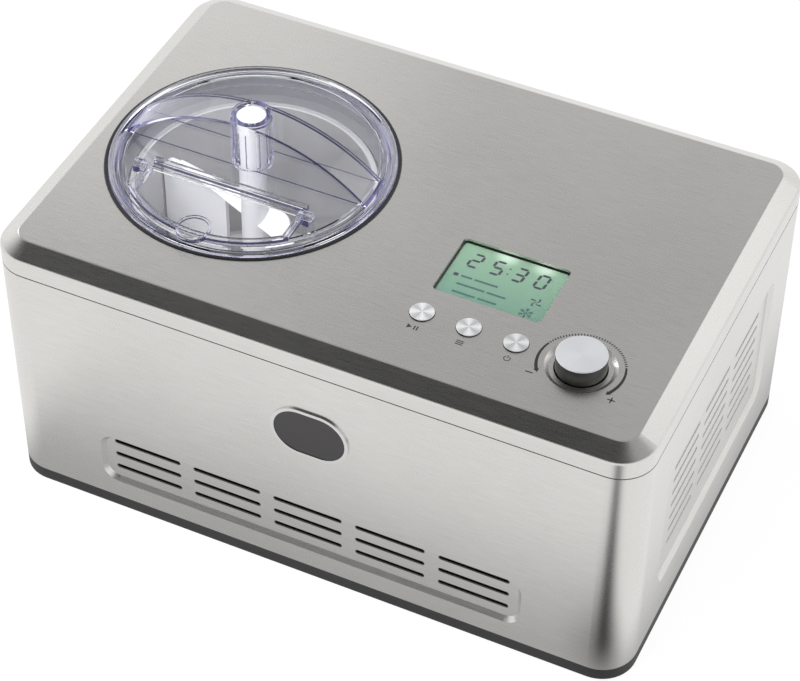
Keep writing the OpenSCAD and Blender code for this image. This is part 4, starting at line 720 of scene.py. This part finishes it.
def makeLipTree():
    # A thin oval wall, folded in from the sheet, at every slot of a field
    tree, given, sink = newTree("ventLips", "GeometryNodeTree", {
        "Columns": "Int", "Rows": "Int", "Column Pitch": "Float", "Row Pitch": "Float",
        "Length": "Float", "Height": "Float", "Depth": "Float", "Wall": "Float",
        "Turn": "Vector", "Place": "Vector", "Finish": "Material",
    }, {"Geometry": "Geometry"})
    height = maths(tree, "SUBTRACT", given["Height"], given["Wall"])
    oval = addNode(tree, "GeometryNodeCurvePrimitiveQuadrilateral", {
        "Width": maths(tree, "SUBTRACT", given["Length"], given["Wall"]), "Height": height})
    ends = addNode(tree, "GeometryNodeFilletCurve", {
        "Curve": oval.outputs["Curve"], "Count": lipEnd["steps"],
        "Radius": maths(tree, "MULTIPLY", height, lipEnd["radiusShare"])}, mode="POLY")
    section = addNode(tree, "GeometryNodeCurvePrimitiveQuadrilateral",
                      {"Width": given["Wall"], "Height": given["Depth"]})
    wall = addNode(tree, "GeometryNodeCurveToMesh", {
        "Curve": ends.outputs["Curve"], "Profile Curve": section.outputs["Curve"]})
    grid = {}
    for axis, count, pitch in (("X", "Columns", "Column Pitch"), ("Y", "Rows", "Row Pitch")):
        steps = maths(tree, "SUBTRACT", given[count], 1)
        grid["Vertices " + axis] = given[count]
        grid["Size " + axis] = maths(tree, "MULTIPLY", steps, given[pitch])
    field = addNode(tree, "GeometryNodeMeshGrid", grid)
    copies = addNode(tree, "GeometryNodeInstanceOnPoints", {
        "Points": field.outputs["Mesh"], "Instance": wall.outputs["Mesh"]})
    halfDepth = maths(tree, "MULTIPLY", given["Depth"], -0.5)
    inwards = addNode(tree, "ShaderNodeCombineXYZ", {"Z": halfDepth})
    sunk = addNode(tree, "GeometryNodeTransform", {
        "Geometry": copies.outputs["Instances"], "Translation": inwards.outputs["Vector"]})
    placed = addNode(tree, "GeometryNodeTransform", {
        "Geometry": sunk.outputs["Geometry"], "Rotation": given["Turn"],
        "Translation": given["Place"]})
    endTree(tree, given, sink, placed.outputs["Geometry"])
    return tree


def makeVentLips():
    tree = makeLipTree()
    for name, field in vents.items():
        values = {**field, **lipShape, "Turn": (math.radians(90), 0, math.radians(field["turn"]))}
        del values["turn"]
        newObject(name, nodesOn(name, tree, values), "housing", field["Finish"])


makeVentLips()
print("vent lips made")

studio = {"floor": grey(0.9), "reach": 6.0, "rough": 0.9, "gloss": 0.1, "seen": 0.86, "glow": 1.09,
          "case": (0.205, 0.143, 0), "near": 0.5, "nearReach": 0.16, "nearWay": (3, 1, 0),
          "streakAt": (0.2, -0.14, 0), "streakWay": (0.33, -0.944, 0),
          "streakAside": (0.944, 0.33, 0), "streakStart": 0.03, "streakHalf": 0.06,
          "paintedStreakShade": 0.05}


def paintedFloorShade(tree):
    # How bright reflections see it: a painted shadow darkens it close to the case, and a painted
    # dark streak runs off its corner
    spot = objectSpot(tree)
    beyond = vectorMaths(tree, "SUBTRACT", vectorMaths(tree, "ABSOLUTE", spot), studio["case"])
    weighed = vectorMaths(tree, "MULTIPLY", vectorMaths(tree, "MAXIMUM", beyond), studio["nearWay"])
    # Painted shadow close to the case
    near = mapped(tree, vectorMaths(tree, "LENGTH", weighed), high=studio["nearReach"],
                  toLow=studio["near"], curve="SMOOTHSTEP")
    # Painted dark streak off the corner, to darken the corner's reflection
    offset = vectorMaths(tree, "SUBTRACT", spot, studio["streakAt"])
    ahead = vectorMaths(tree, "DOT_PRODUCT", offset, studio["streakWay"])
    aside = maths(tree, "ABSOLUTE", vectorMaths(tree, "DOT_PRODUCT", offset, studio["streakAside"]))
    band = mapped(tree, aside, high=studio["streakHalf"], toLow=studio["paintedStreakShade"],
                  curve="SMOOTHSTEP")
    streak = mixed(tree, mapped(tree, ahead, high=studio["streakStart"]), 1, band, "FLOAT")
    return maths(tree, "MULTIPLY", near, streak)


def makeFloor():
    # White paper, partly lit and partly glowing; glossy and transmitted rays see the glow only
    half = studio["reach"] / 2
    mesh = bpy.data.meshes.new("floor")
    mesh.from_pydata([(-half, -half, 0), (half, -half, 0), (half, half, 0), (-half, half, 0)], [],
                     [(0, 1, 2, 3)])
    floor = bpy.data.objects.new("floor", mesh)
    bpy.context.collection.objects.link(floor)
    material, tree, shader = newMaterial("floorPaper", {
        "Base Color": studio["floor"], "Roughness": studio["rough"],
        "Specular IOR Level": studio["gloss"]})
    ray = addNode(tree, "ShaderNodeLightPath").outputs
    bright = mixed(tree, ray["Is Camera Ray"], paintedFloorShade(tree), studio["glow"], "FLOAT")
    glow = addNode(tree, "ShaderNodeEmission", {"Strength": bright})
    own = maths(tree, "MULTIPLY", ray["Is Camera Ray"], studio["seen"])
    seen = maths(tree, "MAXIMUM", ray["Is Glossy Ray"], ray["Is Transmission Ray"])
    mix = addNode(tree, "ShaderNodeMixShader", {
        "Fac": maths(tree, "MAXIMUM", own, seen), 1: shader.outputs["BSDF"],
        2: glow.outputs["Emission"]})
    feed(tree, tree.nodes["Material Output"], {"Surface": mix.outputs["Shader"]})
    paint(mesh, material)


makeFloor()

sky = {"stops": ((0.0, 1.0), (0.45, 0.98), (0.72, 0.36), (1.0, 0.5)), "strength": 1.0,
       "flagSquash": (0.6, 1, 1), "flagWay": (-0.05, -0.5, 0.865),
       "flagEdge": 0.8, "flagCore": 0.93, "flag": 0.04, "through": 1.0, "seen": 1.0}


def makeWorld():
    # White behind everything; overhead it falls to grey, with a dark flag above the near side
    world = bpy.data.worlds.new("studioWorld")
    bpy.context.scene.world = world
    world.use_nodes = True
    tree = world.node_tree
    way = addNode(tree, "ShaderNodeTexCoord").outputs["Generated"]
    height = addNode(tree, "ShaderNodeSeparateXYZ", {"Vector": way}).outputs["Z"]
    ramp = addNode(tree, "ShaderNodeValToRGB", {"Fac": height})
    elements = ramp.color_ramp.elements
    for (position, value), element in zip((sky["stops"][0], sky["stops"][-1]), tuple(elements)):
        element.position, element.color = position, grey(value)
    for position, value in sky["stops"][1:-1]:
        elements.new(position).color = grey(value)
    unit = vectorMaths(tree, "NORMALIZE", vectorMaths(tree, "MULTIPLY", way, sky["flagSquash"]))
    facing = vectorMaths(tree, "DOT_PRODUCT", unit, sky["flagWay"])
    shade = mapped(tree, facing, sky["flagEdge"], sky["flagCore"], curve="SMOOTHSTEP")
    ray = addNode(tree, "ShaderNodeLightPath").outputs
    tone = mixed(tree, shade, ramp.outputs["Color"], grey(sky["flag"]))
    tone = mixed(tree, ray["Is Transmission Ray"], tone, grey(sky["through"]))
    tone = mixed(tree, ray["Is Camera Ray"], tone, grey(sky["seen"]))
    feed(tree, tree.nodes["Background"], {"Color": tone, "Strength": sky["strength"]})


makeWorld()

plainLamp = {"spread": 180, "aim": (0, 0, 0.15), "glossy": True}
lamps = {
    "keyLamp": {"at": (-0.5, -1.1, 1.7), "size": (0.9, 0.9), "power": 19, "glossy": False},
    "bowlLamp": {"at": (0.05, -0.8, 1.1), "size": (0.2, 0.2), "power": 0.13, "glossy": False,
                 "spread": 20, "aim": (-0.11, 0, 0.14)},
    "rightLamp": {"at": (0.95, 1.2, 1.25), "size": (0.55, 0.55), "power": 0.6},
    "lidLamp": {"at": (-1.5, 0.6, 1.1), "size": (0.25, 0.5), "power": 1.2},
    "backPanel": {"at": (-0.75, 0.98, 0.9), "size": (0.5, 0.5), "power": 0.27},
}


def makeLamps():
    for name, own in lamps.items():
        lamp = {**plainLamp, **own}
        light = bpy.data.lights.new(name, "AREA")
        light.shape = "RECTANGLE"
        light.size, light.size_y = lamp["size"]
        light.energy = lamp["power"]
        light.spread = math.radians(lamp["spread"])
        holder = bpy.data.objects.new(name, light)
        holder.location = lamp["at"]
        aim = Vector(lamp["aim"]) - Vector(lamp["at"])
        holder.rotation_mode = "QUATERNION"
        holder.rotation_quaternion = aim.to_track_quat("-Z", "Y")
        holder.visible_glossy = lamp["glossy"]
        holder.visible_transmission = lamp["glossy"]
        bpy.context.collection.objects.link(holder)


makeLamps()

view = {"azimuth": 24.758, "elevation": 44.527, "roll": 0.572, "side": -2.25 * mm,
        "rise": 56.01 * mm, "distance": 1.72717, "lens": 116.94, "sensor": 36, "clip": 0.05,
        "footLift": 3.0 * mm}


def makeCamera():
    a, e, t = (math.radians(view[k]) for k in ("azimuth", "elevation", "roll"))
    back = Vector((math.sin(a) * math.cos(e), -math.cos(a) * math.cos(e), math.sin(e)))
    right = (-back).cross(Vector((0, 0, 1))).normalized()
    up = right.cross(-back)
    side = right * math.cos(t) + up * math.sin(t)
    rise = up * math.cos(t) - right * math.sin(t)
    place = side * view["side"] + rise * view["rise"] + back * view["distance"]
    place.z += view["footLift"]
    camera = bpy.data.objects.new("camera", bpy.data.cameras.new("camera"))
    camera.data.lens = view["lens"]
    camera.data.sensor_width = view["sensor"]
    camera.data.clip_start = view["clip"]
    turned = Matrix((side, rise, back)).transposed().to_4x4()
    camera.matrix_world = Matrix.Translation(place) @ turned
    bpy.context.collection.objects.link(camera)
    bpy.context.scene.camera = camera


makeCamera()
bpy.context.scene.view_settings.view_transform = "Standard"
print("stage, lamps and camera made")
